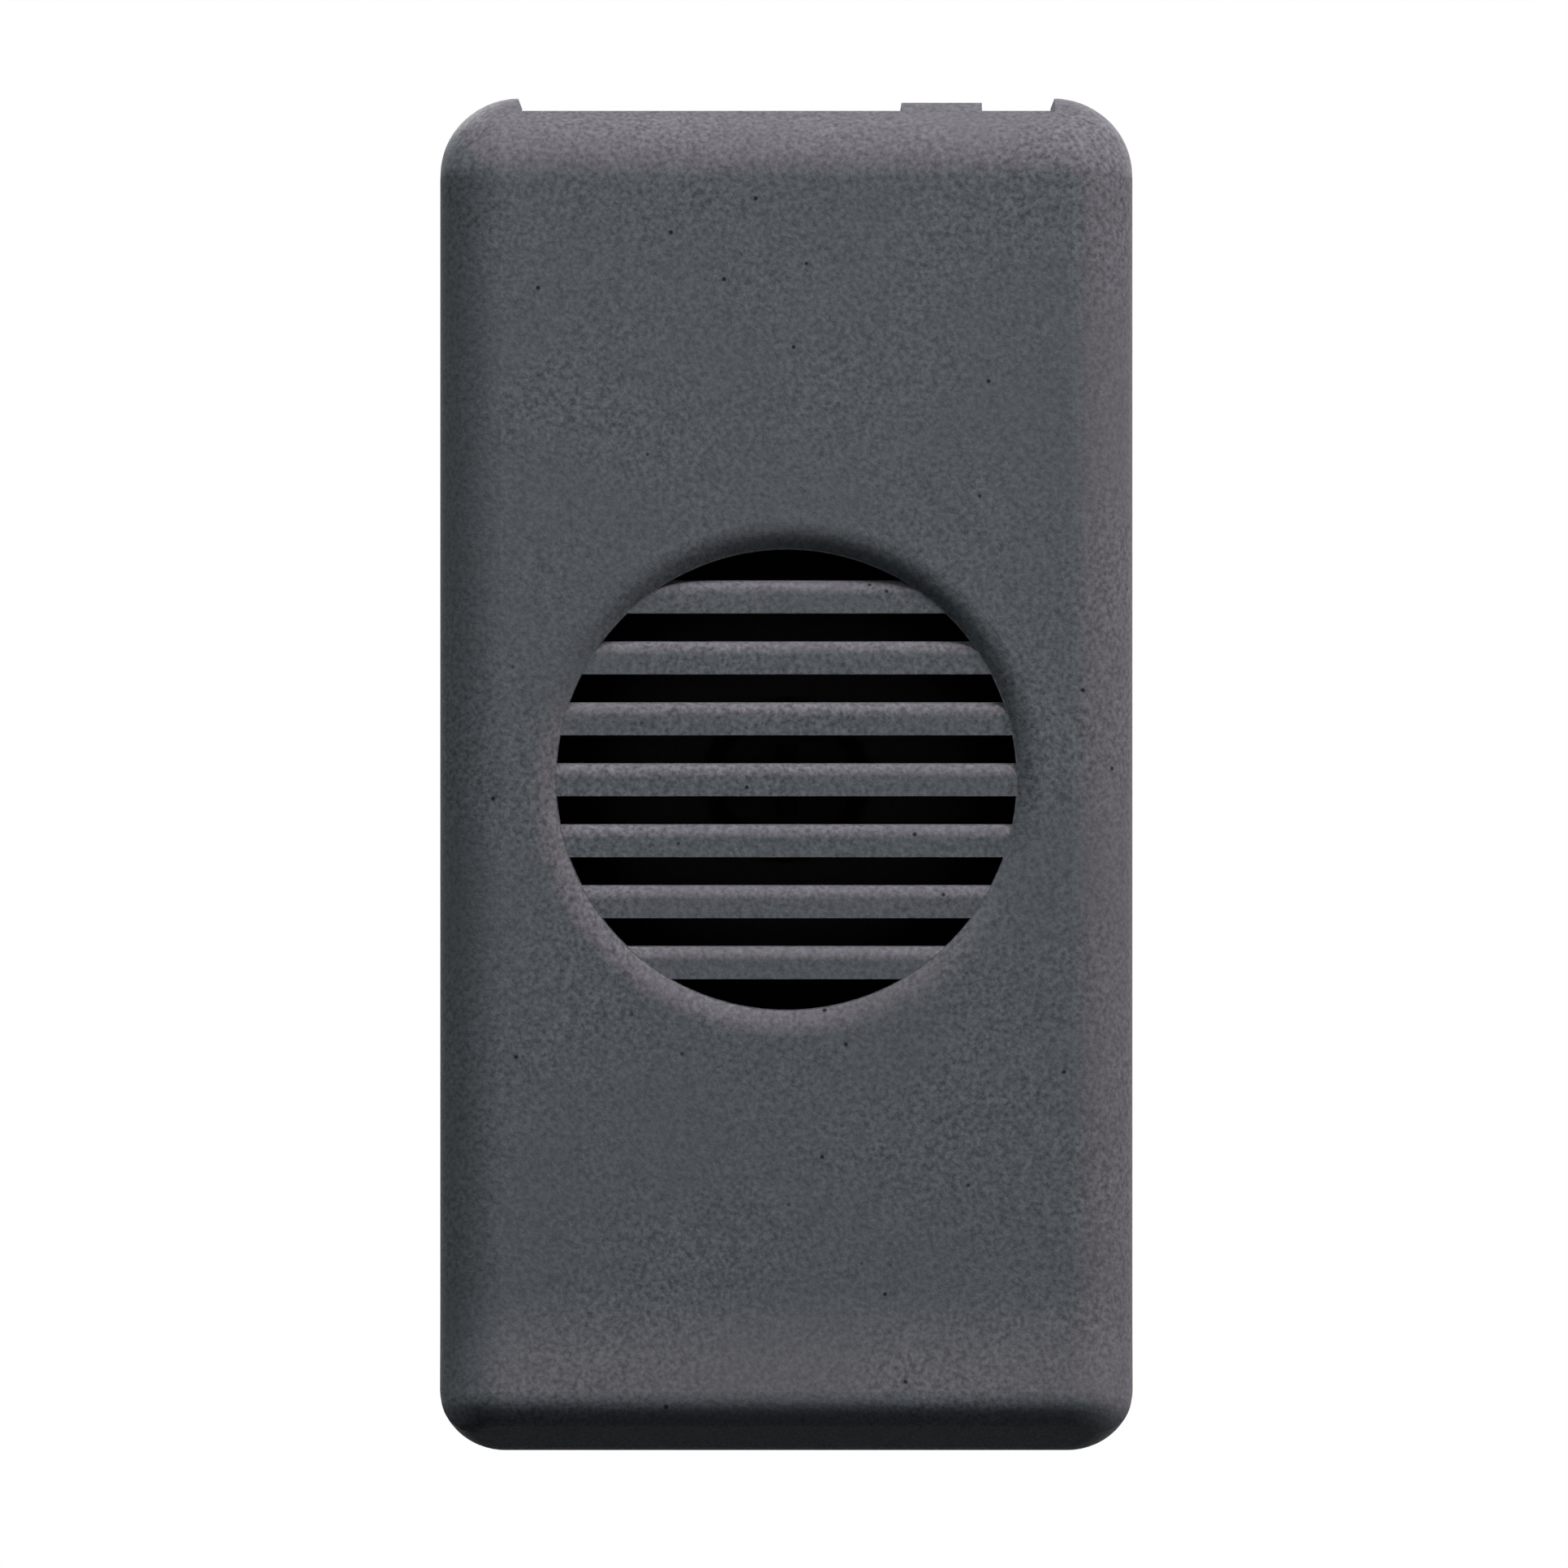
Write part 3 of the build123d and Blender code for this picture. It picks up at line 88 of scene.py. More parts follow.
for lampName, lamp in lampValues.items():
    turn, rise = radians(lamp["azimuth"]), radians(lamp["elevation"])
    toward = Vector((sin(turn) * cos(rise), -cos(turn) * cos(rise), sin(rise)))
    lampData = bpy.data.lights.new(lampName, "AREA")
    lampData.shape = "DISK"
    lampData.size = lamp["size"]
    lampData.energy = lamp["level"] * (pi * lamp["away"]) ** 2
    lampData.color = lamp["tint"]
    lampObject = bpy.data.objects.new(lampName, lampData)
    lampObject.location = toward * lamp["away"]
    lampObject.rotation_euler = toward.to_track_quat("Z", "Y").to_euler()
    bpy.context.scene.collection.objects.link(lampObject)
print("camera and lamps done")


# Node helpers shared by every finish
def addNode(tree, kind, values=None, **settings):
    node = tree.nodes.new("ShaderNode" + kind)
    for key, value in settings.items():
        setattr(node, key, value)
    for key, value in (values or {}).items():
        node.inputs[key].default_value = value
    return node


def newTree(name, constants):
    material = bpy.data.materials.new(name)
    material.use_nodes = True
    tree = material.node_tree
    shader = tree.nodes["Principled BSDF"]
    for key, value in constants.items():
        shader.inputs[key].default_value = value
    return material, tree, shader


def place(tree, centre=(0, 0, 0), stretch=(1, 1, 1), turned=(0, 0, 0)):
    # the object's own coordinates, moved to a centre, stretched, or turned by degrees
    coordinates = addNode(tree, "TexCoord")
    mapping = addNode(tree, "Mapping", {"Location": [-c * s for c, s in zip(centre, stretch)],
                                        "Rotation": [radians(t) for t in turned],
                                        "Scale": stretch})
    tree.links.new(coordinates.outputs["Object"], mapping.inputs["Vector"])
    return mapping.outputs["Vector"]


def noise(tree, spot, size, detail, roughness=0.5):
    # size is about how wide one blotch is, in metres
    node = addNode(tree, "TexNoise", {"Scale": 1 / size, "Detail": detail,
                                      "Roughness": roughness})
    tree.links.new(spot, node.inputs["Vector"])
    return node.outputs["Fac"]


def turningMarks(tree, spot, spacing, axis, wobble, detail, detailScale):
    # rings about an axis; at scale 1 the texture repeats every pi / 10
    node = addNode(tree, "TexWave", {"Scale": pi / 10 / spacing, "Distortion": wobble,
                                     "Detail": detail, "Detail Scale": detailScale},
                   wave_type="RINGS", wave_profile="SIN", rings_direction=axis)
    tree.links.new(spot, node.inputs["Vector"])
    return node.outputs["Fac"]


def remap(tree, source, low, high, toLow=0.0, toHigh=1.0):
    node = addNode(tree, "MapRange", {"From Min": low, "From Max": high, "To Min": toLow,
                                      "To Max": toHigh})
    tree.links.new(source, node.inputs["Value"])
    return node.outputs["Result"]


def combine(tree, operation, first, second):
    node = addNode(tree, "Math", operation=operation)
    tree.links.new(first, node.inputs[0])
    tree.links.new(second, node.inputs[1])
    return node.outputs["Value"]


def blendColour(tree, factor, first, second):
    node = addNode(tree, "Mix", data_type="RGBA")
    for key, source in (("A", first), ("B", second)):
        port = [i for i in node.inputs if i.name == key and i.type == "RGBA"][0]
        if isinstance(source, tuple):
            port.default_value = (*source, 1)
        else:
            tree.links.new(source, port)
    tree.links.new(factor, node.inputs["Factor"])
    return [o for o in node.outputs if o.type == "RGBA"][0]


def shade(colour, share):
    return tuple(c * share for c in colour)


def relief(tree, shader, layers):
    # layers are (height, depth in metres), each added to the one before
    below = None
    for height, depth in layers:
        bump = addNode(tree, "Bump", {"Strength": 1.0, "Distance": depth})
        tree.links.new(height, bump.inputs["Height"])
        if below is not None:
            tree.links.new(below, bump.inputs["Normal"])
        below = bump.outputs["Normal"]
    tree.links.new(below, shader.inputs["Normal"])


def dots(tree, spot, spacing, share, soft):
    # scattered round dots: share is their radius against their spacing, and soft the part of the
    # radius from which they fade
    cells = addNode(tree, "TexVoronoi", {"Scale": 1 / spacing, "Randomness": 1.0})
    tree.links.new(spot, cells.inputs["Vector"])
    return remap(tree, cells.outputs["Distance"], share * soft, share, 1.0, 0.0)


def facing(tree, toward, low, high):
    # 0 to 1 as the object's own surface turns to a fixed direction of the object
    coordinates = addNode(tree, "TexCoord")
    product = addNode(tree, "VectorMath", {1: toward}, operation="DOT_PRODUCT")
    tree.links.new(coordinates.outputs["Normal"], product.inputs[0])
    return remap(tree, product.outputs["Value"], low, high)


def tint(tree, source, share):
    product = addNode(tree, "VectorMath", {1: share}, operation="MULTIPLY")
    tree.links.new(source, product.inputs[0])
    return product.outputs["Vector"]


# What all moulded and blackened finishes share. A spread is the range over which a pattern blends.
mouldedPattern = {"ior": 1.5, "sheenRough": 0.5, "turned": (31, 23, 41), "grainDetail": 3.0,
                  "grainEdge": 0.6, "grainSpread": (0.3, 0.7), "fine": 0.35, "fineDetail": 1.0,
                  "fineDepth": 0.4, "roughSpread": 0.05, "cloudDetail": 2.0,
                  "cloudSpread": (0.35, 0.65), "cloudShare": 0.5, "paintedHighlightSpread": (0.03, 0.20),
                  "speckRadius": 0.06, "speckCore": 0.5, "speckShade": 0.15}


def mouldedPlastic(name, finish):
    pattern = mouldedPattern
    material, tree, shader = newTree(name, {
        "Metallic": 0.0, "IOR": pattern["ior"], "Specular IOR Level": finish["gloss"],
        "Sheen Weight": finish.get("sheen", 0.0), "Sheen Roughness": pattern["sheenRough"],
        "Sheen Tint": (*finish.get("sheenTint", (1, 1, 1)), 1)})
    spot = place(tree, turned=pattern["turned"])
    grain = noise(tree, spot, finish["grain"], pattern["grainDetail"], pattern["grainEdge"])
    fine = noise(tree, spot, finish["grain"] * pattern["fine"], pattern["fineDetail"])
    cloud = noise(tree, spot, finish["cloud"], pattern["cloudDetail"])
    colour = blendColour(tree, remap(tree, grain, *pattern["grainSpread"]),
                         shade(finish["colour"], 1 - finish["mottle"]),
                         shade(finish["colour"], 1 + finish["mottle"]))
    clouded = remap(tree, cloud, *pattern["cloudSpread"], 0.0, pattern["cloudShare"])
    colour = blendColour(tree, clouded, colour, shade(finish["colour"], finish["clouded"]))
    # painted highlight: the colour turns warmer where the surface faces up and to the right, the
    # side the lamps light
    if "paintedHighlight" in finish:
        turned = facing(tree, finish["paintedHighlight"]["toward"], *pattern["paintedHighlightSpread"])
        colour = blendColour(tree, turned, colour, tint(tree, colour, finish["paintedHighlight"]["share"]))
    if "specks" in finish:
        specks = dots(tree, spot, finish["specks"], pattern["speckRadius"], pattern["speckCore"])
        colour = blendColour(tree, specks, colour, shade(finish["colour"], pattern["speckShade"]))
    tree.links.new(colour, shader.inputs["Base Color"])
    tree.links.new(remap(tree, fine, *pattern["grainSpread"],
                         finish["rough"] - pattern["roughSpread"],
                         finish["rough"] + pattern["roughSpread"]),
                   shader.inputs["Roughness"])
    relief(tree, shader, [(grain, finish["depth"]),
                          (fine, finish["depth"] * pattern["fineDepth"])])
    return material


# What all metal finishes share. The marks are drawn lines or turning rings, or the pits where a
# piece has neither.
metalPattern = {"cloudDetail": 3.0, "cloudSpread": (0.35, 0.65), "pitDetail": 3.0, "pitEdge": 0.65,
                "lineDetail": 2.0, "lineEdge": 0.7, "lineDepth": 0.6, "ringWobble": 1.2,
                "ringDetail": 2.0, "ringDetailScale": 2.0, "ringDepth": 0.5,
                "markSpread": (0.35, 0.75), "markShare": 0.35, "markShade": 0.72,
                "roughSpread": (0.7, 1.3), "smoother": 0.07, "rougher": 0.09}


def workedMetal(name, finish):
    pattern = metalPattern
    material, tree, shader = newTree(name, {"Metallic": 1.0})
    spot = place(tree)
    cloud = noise(tree, spot, finish["cloud"], pattern["cloudDetail"])
    pits = noise(tree, spot, finish["grain"], pattern["pitDetail"], pattern["pitEdge"])
    colour = blendColour(tree, remap(tree, cloud, *pattern["cloudSpread"]), finish["colour"],
                         finish["second"])
    layers = [(pits, finish["depth"])]
    marks = pits
    if "lines" in finish:
        marks = noise(tree, place(tree, stretch=finish["lines"]), finish["lineWidth"],
                      pattern["lineDetail"], pattern["lineEdge"])
        layers.append((marks, finish["depth"] * pattern["lineDepth"]))
    for centre, axis in finish.get("rings", []):
        marks = turningMarks(tree, place(tree, centre), finish["ringSpacing"], axis,
                             pattern["ringWobble"], pattern["ringDetail"],
                             pattern["ringDetailScale"])
        layers.append((marks, finish["depth"] * pattern["ringDepth"]))
    marked = remap(tree, marks, *pattern["markSpread"], 0.0, pattern["markShare"])
    colour = blendColour(tree, marked, colour, shade(finish["colour"], pattern["markShade"]))
    tree.links.new(colour, shader.inputs["Base Color"])
    tree.links.new(remap(tree, combine(tree, "ADD", cloud, marks), *pattern["roughSpread"],
                         finish["rough"] - pattern["smoother"],
                         finish["rough"] + pattern["rougher"]),
                   shader.inputs["Roughness"])
    relief(tree, shader, layers)
    return material


def dress(nodeNames, material):
    for nodeName in nodeNames:
        slots = cadNodes[nodeName].data.materials
        slots.clear()
        slots.append(material)


# Front cover: dark grey, with a fine matt grain and a few darker specks, and a painted highlight
# that tints it warmer where the face turns up and to the right, towards the lamps
coverFinish = {"colour": (0.0960, 0.1078, 0.1202), "mottle": 0.49, "grain": 0.16 * mm,
               "cloud": 6 * mm, "clouded": 0.95, "depth": 0.012 * mm, "rough": 0.62,
               "gloss": 0.03, "specks": 1.6 * mm, "sheen": 0.02, "sheenTint": (1.0, 0.80, 0.83),
               # painted highlight: a warmer tint on the faces turned up and to the right
               "paintedHighlight": {"toward": (0.6, 0.0, 1.0), "share": (1.09, 0.965, 0.975)}}
dress(["front_cover"], mouldedPlastic("coverPlastic", coverFinish))
print("cover done")


# Casing and the other moulded pieces
casingFinish = {"colour": (0.035, 0.037, 0.040), "mottle": 0.10, "grain": 0.20 * mm,
                "cloud": 7 * mm, "clouded": 1.25, "depth": 0.008 * mm, "rough": 0.50,
                "gloss": 0.20}
dress(["casing"], mouldedPlastic("casingPlastic", casingFinish))
plateFinish = {"colour": (0.33, 0.34, 0.34), "mottle": 0.05, "grain": 0.25 * mm,
               "cloud": 8 * mm, "clouded": 0.92, "depth": 0.008 * mm, "rough": 0.48,
               "gloss": 0.25}
dress(["rear_plate", "terminal_guard"], mouldedPlastic("platePlastic", plateFinish))
bushFinish = {"colour": (0.62, 0.25, 0.05), "mottle": 0.05, "grain": 0.20 * mm,
              "cloud": 3 * mm, "clouded": 0.90, "depth": 0.006 * mm, "rough": 0.42,
              "gloss": 0.30}
dress(["wire_bush_left", "wire_bush_right"], mouldedPlastic("bushPlastic", bushFinish))
bobbinFinish = {"colour": (0.62, 0.60, 0.54), "mottle": 0.04, "grain": 0.25 * mm,
                "cloud": 5 * mm, "clouded": 0.93, "depth": 0.006 * mm, "rough": 0.42,
                "gloss": 0.30}
dress(["bobbin"], mouldedPlastic("bobbinPlastic", bobbinFinish))
washerFinish = {"colour": (0.045, 0.030, 0.022), "mottle": 0.25, "grain": 0.12 * mm,
                "cloud": 1.5 * mm, "clouded": 0.70, "depth": 0.010 * mm, "rough": 0.75,
                "gloss": 0.08}
dress(["gong_washers"], mouldedPlastic("washerFibre", washerFinish))
print("moulded pieces done")


# Blackened steel: the gong and its screw, made darker than real oxide as painted shade, so the
# grille gaps stay black
gongFinish = {"colour": (0.0075, 0.0075, 0.0080), "mottle": 0.30, "grain": 0.10 * mm,
              "cloud": 2.5 * mm, "clouded": 1.60, "depth": 0.004 * mm, "rough": 0.55,
              "gloss": 0.10}
dress(["gong"], mouldedPlastic("gongOxideAndPaintedShade", gongFinish))
# painted shade: the screw is darker still than its oxide, so it does not show between the slats
screwFinish = {"colour": (0.0035, 0.0035, 0.004), "mottle": 0.25, "grain": 0.08 * mm,
               "cloud": 1.2 * mm, "clouded": 1.40, "depth": 0.003 * mm, "rough": 0.55,
               "gloss": 0.03}
dress(["gong_screw"], mouldedPlastic("gongScrewOxideAndPaintedShade", screwFinish))

# Zinc plated and plain iron pieces. "lines" stretches the marks along the way the piece was
# rolled or drawn, "rings" are turning marks about an axis.
yokeFinish = {"colour": (0.60, 0.60, 0.58), "second": (0.62, 0.57, 0.47), "cloud": 4 * mm,
              "grain": 0.25 * mm, "depth": 0.006 * mm, "rough": 0.34,
              "lines": (1.0, 1.0, 0.04), "lineWidth": 0.12 * mm}
dress(["yoke"], workedMetal("yokeZinc", yokeFinish))
armatureFinish = {"colour": (0.60, 0.60, 0.58), "second": (0.63, 0.58, 0.49), "cloud": 3 * mm,
                  "grain": 0.25 * mm, "depth": 0.006 * mm, "rough": 0.36,
                  "lines": (1.0, 0.04, 1.0), "lineWidth": 0.12 * mm}
dress(["armature"], workedMetal("armatureZinc", armatureFinish))
clampFinish = {"colour": (0.60, 0.60, 0.58), "second": (0.52, 0.53, 0.54), "cloud": 2 * mm,
               "grain": 0.18 * mm, "depth": 0.006 * mm, "rough": 0.38,
               "lines": (0.05, 1.0, 1.0), "lineWidth": 0.10 * mm}
dress(["clamp_plate_left", "clamp_plate_right"], workedMetal("clampZinc", clampFinish))


def middle(nodeName):
    low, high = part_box(nodeName)
    return tuple((a + b) / 2 for a, b in zip(low, high))


coreFinish = {"colour": (0.52, 0.52, 0.53), "second": (0.46, 0.44, 0.42), "cloud": 2.5 * mm,
              "grain": 0.15 * mm, "depth": 0.004 * mm, "rough": 0.33, "ringSpacing": 0.12 * mm,
              "rings": [(middle("core"), "Z")]}
dress(["core"], workedMetal("coreIron", coreFinish))
yokeScrewFinish = {"colour": (0.60, 0.60, 0.58), "second": (0.62, 0.58, 0.50), "cloud": 1.5 * mm,
                   "grain": 0.12 * mm, "depth": 0.005 * mm, "rough": 0.30,
                   "ringSpacing": 0.20 * mm, "headRadius": 2.7 * mm}
lowerScrewAxis = (0, 0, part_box("yoke_screws")[0].z + yokeScrewFinish["headRadius"])
yokeScrewFinish["rings"] = [(lowerScrewAxis, "Y")]
dress(["yoke_screws"], workedMetal("yokeScrewZinc", yokeScrewFinish))
for side in ("left", "right"):
    terminalFinish = {"colour": (0.60, 0.60, 0.58), "second": (0.58, 0.56, 0.50),
                      "cloud": 1.5 * mm, "grain": 0.12 * mm, "depth": 0.005 * mm, "rough": 0.30,
                      "ringSpacing": 0.16 * mm, "rings": [(middle(f"terminal_screw_{side}"), "Z")]}
    dress([f"terminal_screw_{side}"], workedMetal(f"terminalScrewZinc_{side}", terminalFinish))
rivetFinish = {"colour": (0.52, 0.52, 0.53), "second": (0.46, 0.45, 0.44), "cloud": 0.8 * mm,
               "grain": 0.10 * mm, "depth": 0.005 * mm, "rough": 0.32}
dress(["yoke_rivets", "armature_rivets"], workedMetal("rivetSteel", rivetFinish))
rodFinish = {"colour": (0.52, 0.52, 0.53), "second": (0.55, 0.53, 0.50), "cloud": 1.5 * mm,
             "grain": 0.08 * mm, "depth": 0.003 * mm, "rough": 0.24,
             "lines": (1.0, 0.03, 1.0), "lineWidth": 0.06 * mm}
dress(["hammer_rod"], workedMetal("rodSteel", rodFinish))

# Brass, tinned brass and copper pieces
postFinish = {"colour": (0.66, 0.47, 0.22), "second": (0.60, 0.40, 0.17), "cloud": 2 * mm,
              "grain": 0.12 * mm, "depth": 0.004 * mm, "rough": 0.28, "ringSpacing": 0.10 * mm,
              "rings": [((0, 0, 0), "Y")]}
dress(["gong_post"], workedMetal("postBrass", postFinish))
pinFinish = {"colour": (0.66, 0.47, 0.22), "second": (0.60, 0.42, 0.20), "cloud": 0.5 * mm,
             "grain": 0.06 * mm, "depth": 0.003 * mm, "rough": 0.30, "ringSpacing": 0.05 * mm,
             "rings": [(middle("pole_pin"), "Z")]}
dress(["pole_pin"], workedMetal("pinBrass", pinFinish))
headFinish = {"colour": (0.66, 0.47, 0.22), "second": (0.57, 0.38, 0.16), "cloud": 1.2 * mm,
              "grain": 0.10 * mm, "depth": 0.005 * mm, "rough": 0.27, "ringSpacing": 0.10 * mm,
              "rings": [(middle("hammer_head"), "Y")]}
dress(["hammer_head"], workedMetal("headBrass", headFinish))
holderFinish = {"colour": (0.66, 0.47, 0.22), "second": (0.60, 0.41, 0.18), "cloud": 1.5 * mm,
                "grain": 0.12 * mm, "depth": 0.005 * mm, "rough": 0.32,
                "lines": (1.0, 1.0, 0.05), "lineWidth": 0.08 * mm}
dress(["rod_holder"], workedMetal("holderBrass", holderFinish))
cageFinish = {"colour": (0.64, 0.49, 0.26), "second": (0.56, 0.42, 0.22), "cloud": 2.5 * mm,
              "grain": 0.20 * mm, "depth": 0.006 * mm, "rough": 0.33,
              "lines": (1.0, 0.05, 1.0), "lineWidth": 0.10 * mm}
dress(["terminal_cage_left", "terminal_cage_right"], workedMetal("cageBrass", cageFinish))
coilPinFinish = {"colour": (0.62, 0.58, 0.48), "second": (0.68, 0.66, 0.62), "cloud": 0.6 * mm,
                 "grain": 0.08 * mm, "depth": 0.006 * mm, "rough": 0.26}
dress(["coil_pins"], workedMetal("coilPinTin", coilPinFinish))
print("metal pieces done")


# Leads: insulated wire with a soft shine
for side, leadColour in (("left", (0.06, 0.16, 0.42)), ("right", (0.22, 0.09, 0.035))):
    leadFinish = {"colour": leadColour, "mottle": 0.06, "grain": 0.12 * mm, "cloud": 2 * mm,
                  "clouded": 0.85, "depth": 0.003 * mm, "rough": 0.32, "gloss": 0.45}
    dress([f"coil_lead_{side}"], mouldedPlastic(f"leadPlastic_{side}", leadFinish))
print("leads done")


def takeMesh(name, mesh, body, nodeName, material):
    # a finished mesh becomes a piece that stands for one CAD node
    made = bpy.data.objects.new(name, mesh)
    bpy.context.scene.collection.objects.link(made)
    mesh.materials.append(material)
    mesh.shade_smooth()
    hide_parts(nodeName)
    if body:
        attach(made, body)
    return made


def skinMesh(name, rings, closed):
    # a skin over a row of point rings, which closes on itself or has a cap at both ends
    work = bmesh.new()
    loops = [[work.verts.new(point) for point in ring] for ring in rings]
    following = loops[1:] + loops[:1] if closed else loops[1:]
    for loop, nextLoop in zip(loops, following):
        for step in range(len(loop)):
            after = (step + 1) % len(loop)
            work.faces.new((loop[step], nextLoop[step], nextLoop[after], loop[after]))
    if not closed:
        work.faces.new(loops[0])
        work.faces.new(loops[-1])
    bmesh.ops.recalc_face_normals(work, faces=work.faces)
    mesh = bpy.data.meshes.new(name)
    work.to_mesh(mesh)
    work.free()
    return mesh


def aboutAxis(centre, radius, angle, height):
    # a point on a circle about the vertical line through centre
    return (centre[0] + radius * cos(angle), centre[1] + radius * sin(angle), height)


# Winding: enamelled wire, one turn beside the other, as ridges about the core
windingLow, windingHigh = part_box("winding")
windingValues = {"wire": 0.28 * mm, "around": 96, "inner": 3.36 * mm,
                 "ridgeAngles": (-75, -45, -15, 15, 45, 75)}
windingFinish = {"colour": (0.62, 0.24, 0.10), "second": (0.48, 0.16, 0.06), "cloud": 2 * mm,
                 "grain": 0.10 * mm, "depth": 0.003 * mm, "rough": 0.26}
windingOuter = (windingHigh.x - windingLow.x) / 2
turnCount = int((windingHigh.z - windingLow.z) / windingValues["wire"])
turnHeight = (windingHigh.z - windingLow.z) / turnCount
# section of the winding as (radius, height): its straight bore, then a ridge for every turn
windingProfile = [(windingValues["inner"], windingHigh.z), (windingValues["inner"], windingLow.z)]
for turnIndex in range(turnCount):
    turnMiddle = windingLow.z + (turnIndex + 0.5) * turnHeight
    for angle in windingValues["ridgeAngles"]:
        windingProfile.append((windingOuter - turnHeight / 2 * (1 - cos(radians(angle))),
                               turnMiddle + turnHeight / 2 * sin(radians(angle))))
windingMiddle = middle("winding")
windingRings = []
for index in range(windingValues["around"]):
    angle = 2 * pi * index / windingValues["around"]
    windingRings.append([aboutAxis(windingMiddle, radius, angle, height)
                         for radius, height in windingProfile])
takeMesh("windingTurns", skinMesh("windingTurns", windingRings, True), "housing", "winding",
         workedMetal("windingEnamel", windingFinish))

# Tape: amber film over the winding, with its free end lapped over and the turns showing through
tapeLow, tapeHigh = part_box("winding_tape")
tapeFinish = {"colour": (0.72, 0.46, 0.08), "mottle": 0.05, "grain": 0.5 * mm, "cloud": 3 * mm,
              "clouded": 0.80, "depth": 0.006 * mm, "rough": 0.22, "gloss": 0.50}
tapeValues = {"film": 0.05 * mm, "around": 160, "endAngle": 215, "groove": 0.012 * mm,
              "clearance": 0.02 * mm}
tapeOuter = (tapeHigh.x - tapeLow.x) / 2
tapeInner = windingOuter + tapeValues["clearance"]
tapeMiddle = middle("winding_tape")
tapeRings = []
rows = turnCount * 2
for index in range(tapeValues["around"] + 1):
    share = index / tapeValues["around"]
    angle = radians(tapeValues["endAngle"] - 90) + 2 * pi * share
    # the lapped end makes the wrap one film thicker at the finish than at the start
    swell = tapeOuter - tapeValues["film"] * (1 - share)
    ring = []
    for row in range(rows + 1):
        height = tapeLow.z + (tapeHigh.z - tapeLow.z) * row / rows
        radius = swell - (tapeValues["groove"] if row % 2 else 0.0)
        ring.append(aboutAxis(tapeMiddle, radius, angle, height))
    for height in (tapeHigh.z, tapeLow.z):
        ring.append(aboutAxis(tapeMiddle, tapeInner, angle, height))
    tapeRings.append(ring)
takeMesh("tapeWrap", skinMesh("tapeWrap", tapeRings, False), "housing", "winding_tape",
         mouldedPlastic("tapeFilm", tapeFinish))
print("coil done")


# Leaf spring: a bent leaf between the yoke and the armature. At rest the armature
# tilts down by "tilt" degrees, and the middle of the leaf runs "below" under the hinge line.
springLow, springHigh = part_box("armature_spring")
springValues = {"thickness": 0.25 * mm, "bendRadius": 0.80 * mm, "tilt": 5.0,
                "hingeY": 22.0 * mm, "hingeZ": -5.202 * mm, "below": 1.475 * mm,
                "cornerCut": 0.9 * mm, "plateLength": 8.6 * mm, "flatSteps": 24,
                "bendSteps": 16, "halfSteps": 4, "blendFrom": (0, 22.2 * mm, -4.4 * mm),
                "blendTo": (0, 20.6 * mm, -6.6 * mm)}
springFinish = {"colour": (0.60, 0.38, 0.20), "second": (0.50, 0.31, 0.17), "cloud": 2 * mm,
                "grain": 0.12 * mm, "depth": 0.004 * mm, "rough": 0.28,
                "lines": (0.04, 1.0, 1.0), "lineWidth": 0.08 * mm}
springTilt = radians(springValues["tilt"])
along = Vector((0, -cos(springTilt), -sin(springTilt)))
across = Vector((0, sin(springTilt), -cos(springTilt)))
hinge = Vector((0, springValues["hingeY"], springValues["hingeZ"]))
leafY = springHigh.y - springValues["thickness"] / 2
leafTop = Vector((0, leafY, springHigh.z))
plateLine = hinge + across * springValues["below"]
leafCorner = plateLine + along * ((plateLine.y - leafY) / cos(springTilt))
leafTip = plateLine + along * springValues["plateLength"]


def springLine():
    # middle line of the leaf as (point, outward normal), close together near the bend
    bendFrom, bendTo = Vector((0, 0, -1)), along
    turn = bendFrom.angle(bendTo)
    setBack = springValues["bendRadius"] * tan(turn / 2)
    bendStart = leafCorner - bendFrom * setBack
    bendEnd = leafCorner + bendTo * setBack
    bendCentre = bendStart + Vector((0, -springValues["bendRadius"], 0))
    flatSteps, bendSteps = springValues["flatSteps"], springValues["bendSteps"]
    line = []
    for step in range(flatSteps + 1):
        line.append((leafTop.lerp(bendStart, step / flatSteps), Vector((0, 1, 0))))
    for step in range(1, bendSteps):
        angle = turn * step / bendSteps
        outward = Vector((0, cos(angle), -sin(angle)))
        line.append((bendCentre + outward * springValues["bendRadius"], outward))
    for step in range(flatSteps + 1):
        line.append((bendEnd.lerp(leafTip, step / flatSteps), across.copy()))
    return line


springWidth = springHigh.x - springLow.x
cut, halfSteps = springValues["cornerCut"], springValues["halfSteps"]
lengths = [0.0]
leafLine = springLine()
for (before, _), (after, _) in zip(leafLine, leafLine[1:]):
    lengths.append(lengths[-1] + (after - before).length)
sections = []
for (point, outward), length in zip(leafLine, lengths):
    # the ends have round corners
    fromEnd = min(length, lengths[-1] - length)
    missing = cut - sqrt(max(cut * cut - (cut - fromEnd) ** 2, 0)) if fromEnd < cut else 0.0
    half = springWidth / 2 - missing
    section = []
    for level in (0.5, -0.5):
        # across the outer face one way and back over the inner face
        shift = outward * springValues["thickness"] * level
        stops = range(-halfSteps, halfSteps + 1)
        for stop in stops if level > 0 else reversed(stops):
            sideways = Vector((half * stop / halfSteps, 0, 0))
            section.append(point + shift + sideways)
    sections.append(section)
springLeaf = takeMesh("springLeaf", skinMesh("springLeaf", sections, False), None,
                      "armature_spring", workedMetal("springBronze", springFinish))
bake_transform(springLeaf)
print("spring done")


# Soft studio surroundings: white where they are seen or mirrored, dim as a light
worldValues = {"seen": 1.0, "asLight": 0.035}
studio = bpy.data.worlds.new("studio")
studio.use_nodes = True
bpy.context.scene.world = studio
studioTree = studio.node_tree
raySort = addNode(studioTree, "LightPath")


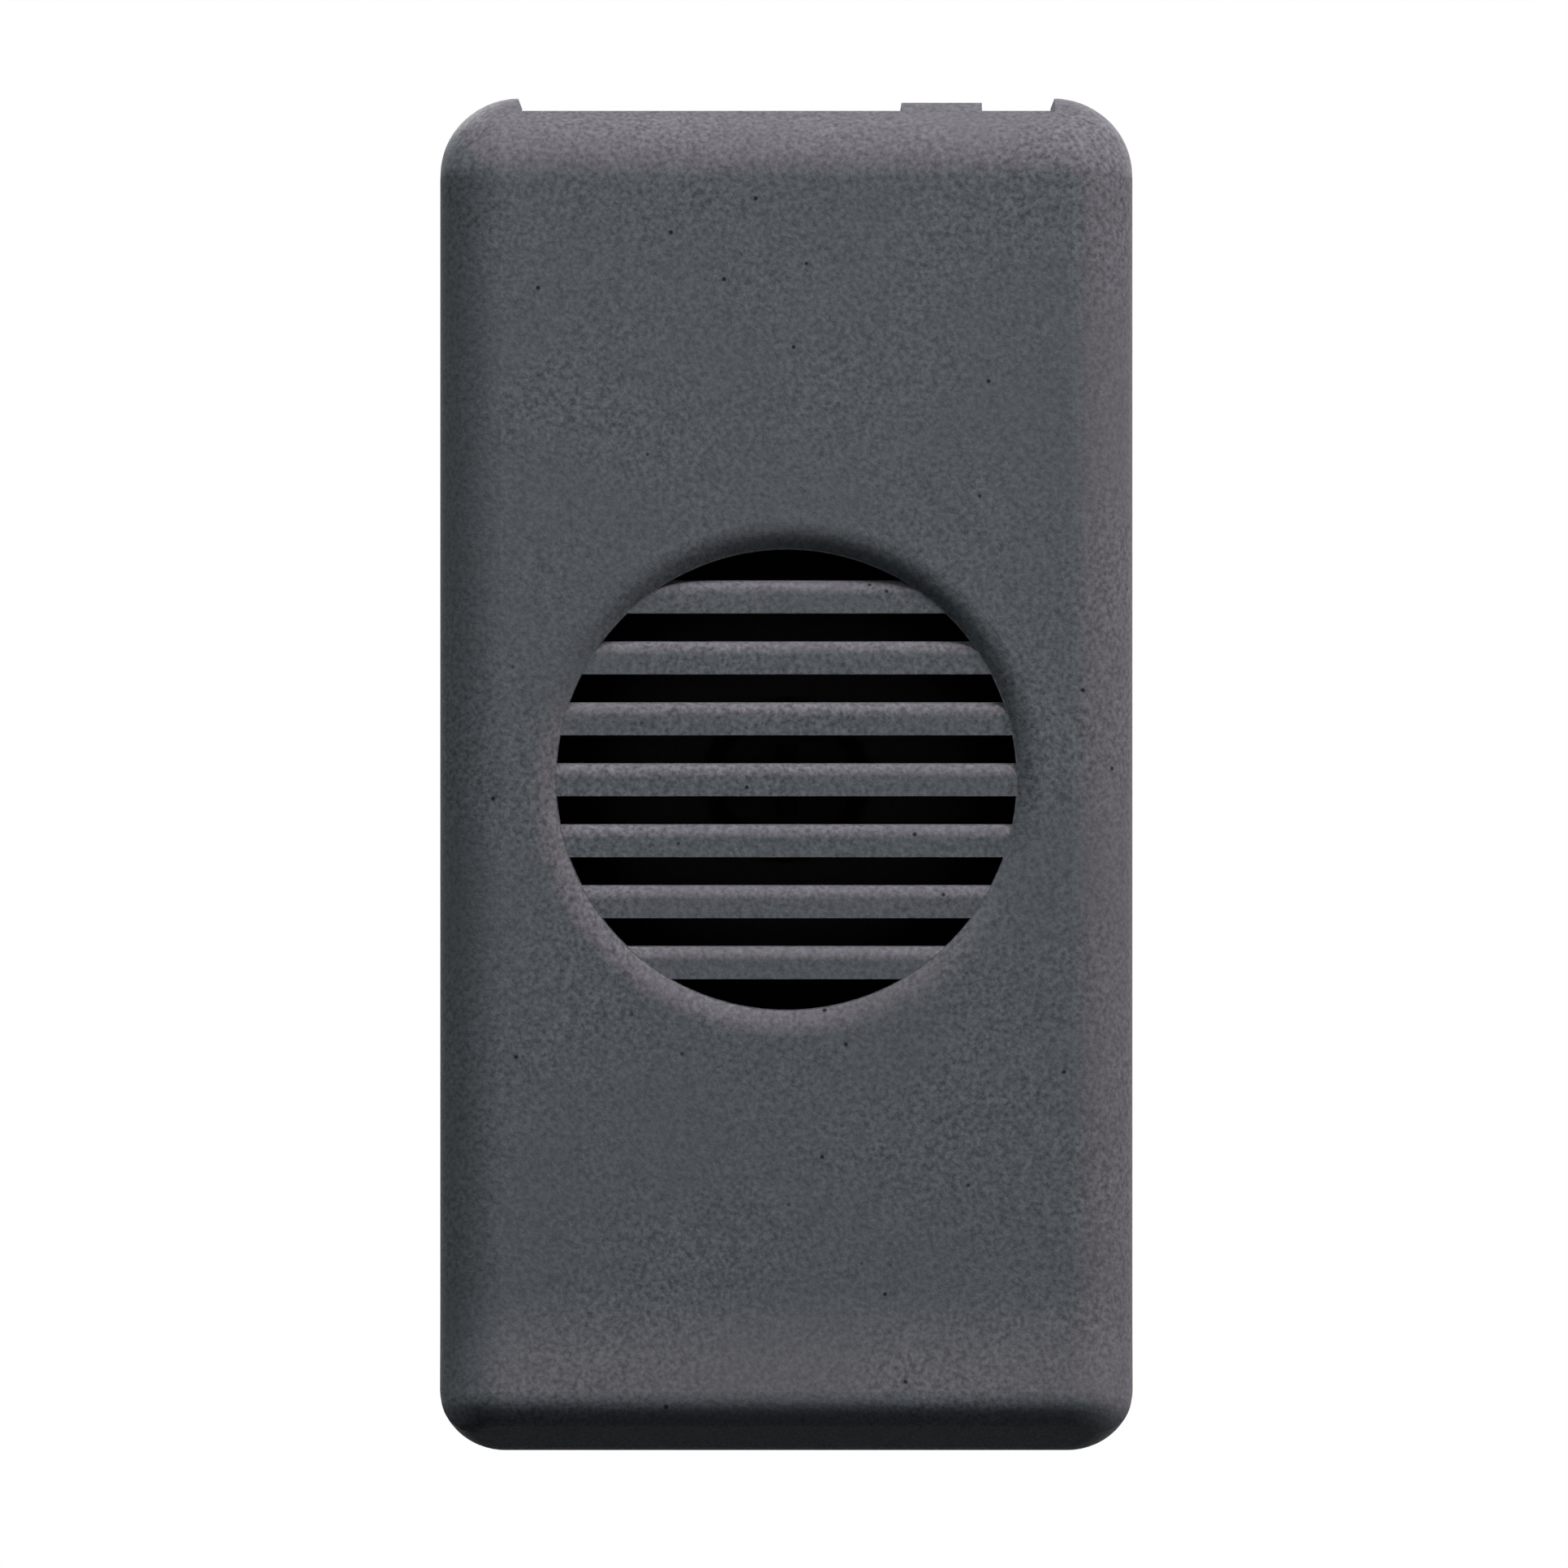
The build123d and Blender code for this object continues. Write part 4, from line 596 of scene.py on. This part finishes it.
def seenRay(tree, rays):
    seen = combine(tree, "MAXIMUM", rays.outputs["Is Camera Ray"], rays.outputs["Is Glossy Ray"])
    return combine(tree, "MAXIMUM", seen, rays.outputs["Is Transmission Ray"])


studioTree.links.new(remap(studioTree, seenRay(studioTree, raySort), 0, 1,
                           worldValues["asLight"], worldValues["seen"]),
                     studioTree.nodes["Background"].inputs["Strength"])
studioTree.nodes["Background"].inputs["Color"].default_value = (1, 1, 1, 1)

# Pale floor well below the unit. It keeps the unit's shadow in the middle and turns to the white
# of the surroundings further out. It bounces little light, so the unit's underside stays dark.
floorValues = {"half": 1.2, "height": -0.12, "colour": (0.50, 0.50, 0.50),
               "bounce": (0.012, 0.012, 0.012), "farOut": (0.0, 0.0, 0.0),
               "whiteFrom": 0.06, "whiteTo": 0.26, "rough": 0.9}
floorMesh = bpy.data.meshes.new("floor")
half, height = floorValues["half"], floorValues["height"]
floorMesh.from_pydata([(-half, -half, height), (half, -half, height), (half, half, height),
                       (-half, half, height)], [], [(0, 1, 2, 3)])
floorObject = bpy.data.objects.new("floor", floorMesh)
bpy.context.scene.collection.objects.link(floorObject)
floorMaterial, floorTree, floorShader = newTree("floorPaper", {
    "Roughness": floorValues["rough"], "Specular IOR Level": 0.0,
    "Emission Color": (1, 1, 1, 1)})
floorSeen = seenRay(floorTree, addNode(floorTree, "LightPath"))
floorAway = addNode(floorTree, "VectorMath", operation="LENGTH")
floorTree.links.new(place(floorTree, (0, 0, height)), floorAway.inputs[0])
floorWhite = combine(floorTree, "MULTIPLY", floorSeen,
                     remap(floorTree, floorAway.outputs["Value"], floorValues["whiteFrom"],
                           floorValues["whiteTo"]))
floorLit = blendColour(floorTree, floorSeen, floorValues["bounce"], floorValues["colour"])
floorTree.links.new(blendColour(floorTree, floorWhite, floorLit, floorValues["farOut"]),
                    floorShader.inputs["Base Color"])
floorTree.links.new(floorWhite, floorShader.inputs["Emission Strength"])
floorMesh.materials.append(floorMaterial)
print("surroundings done")

print("all pieces in place")
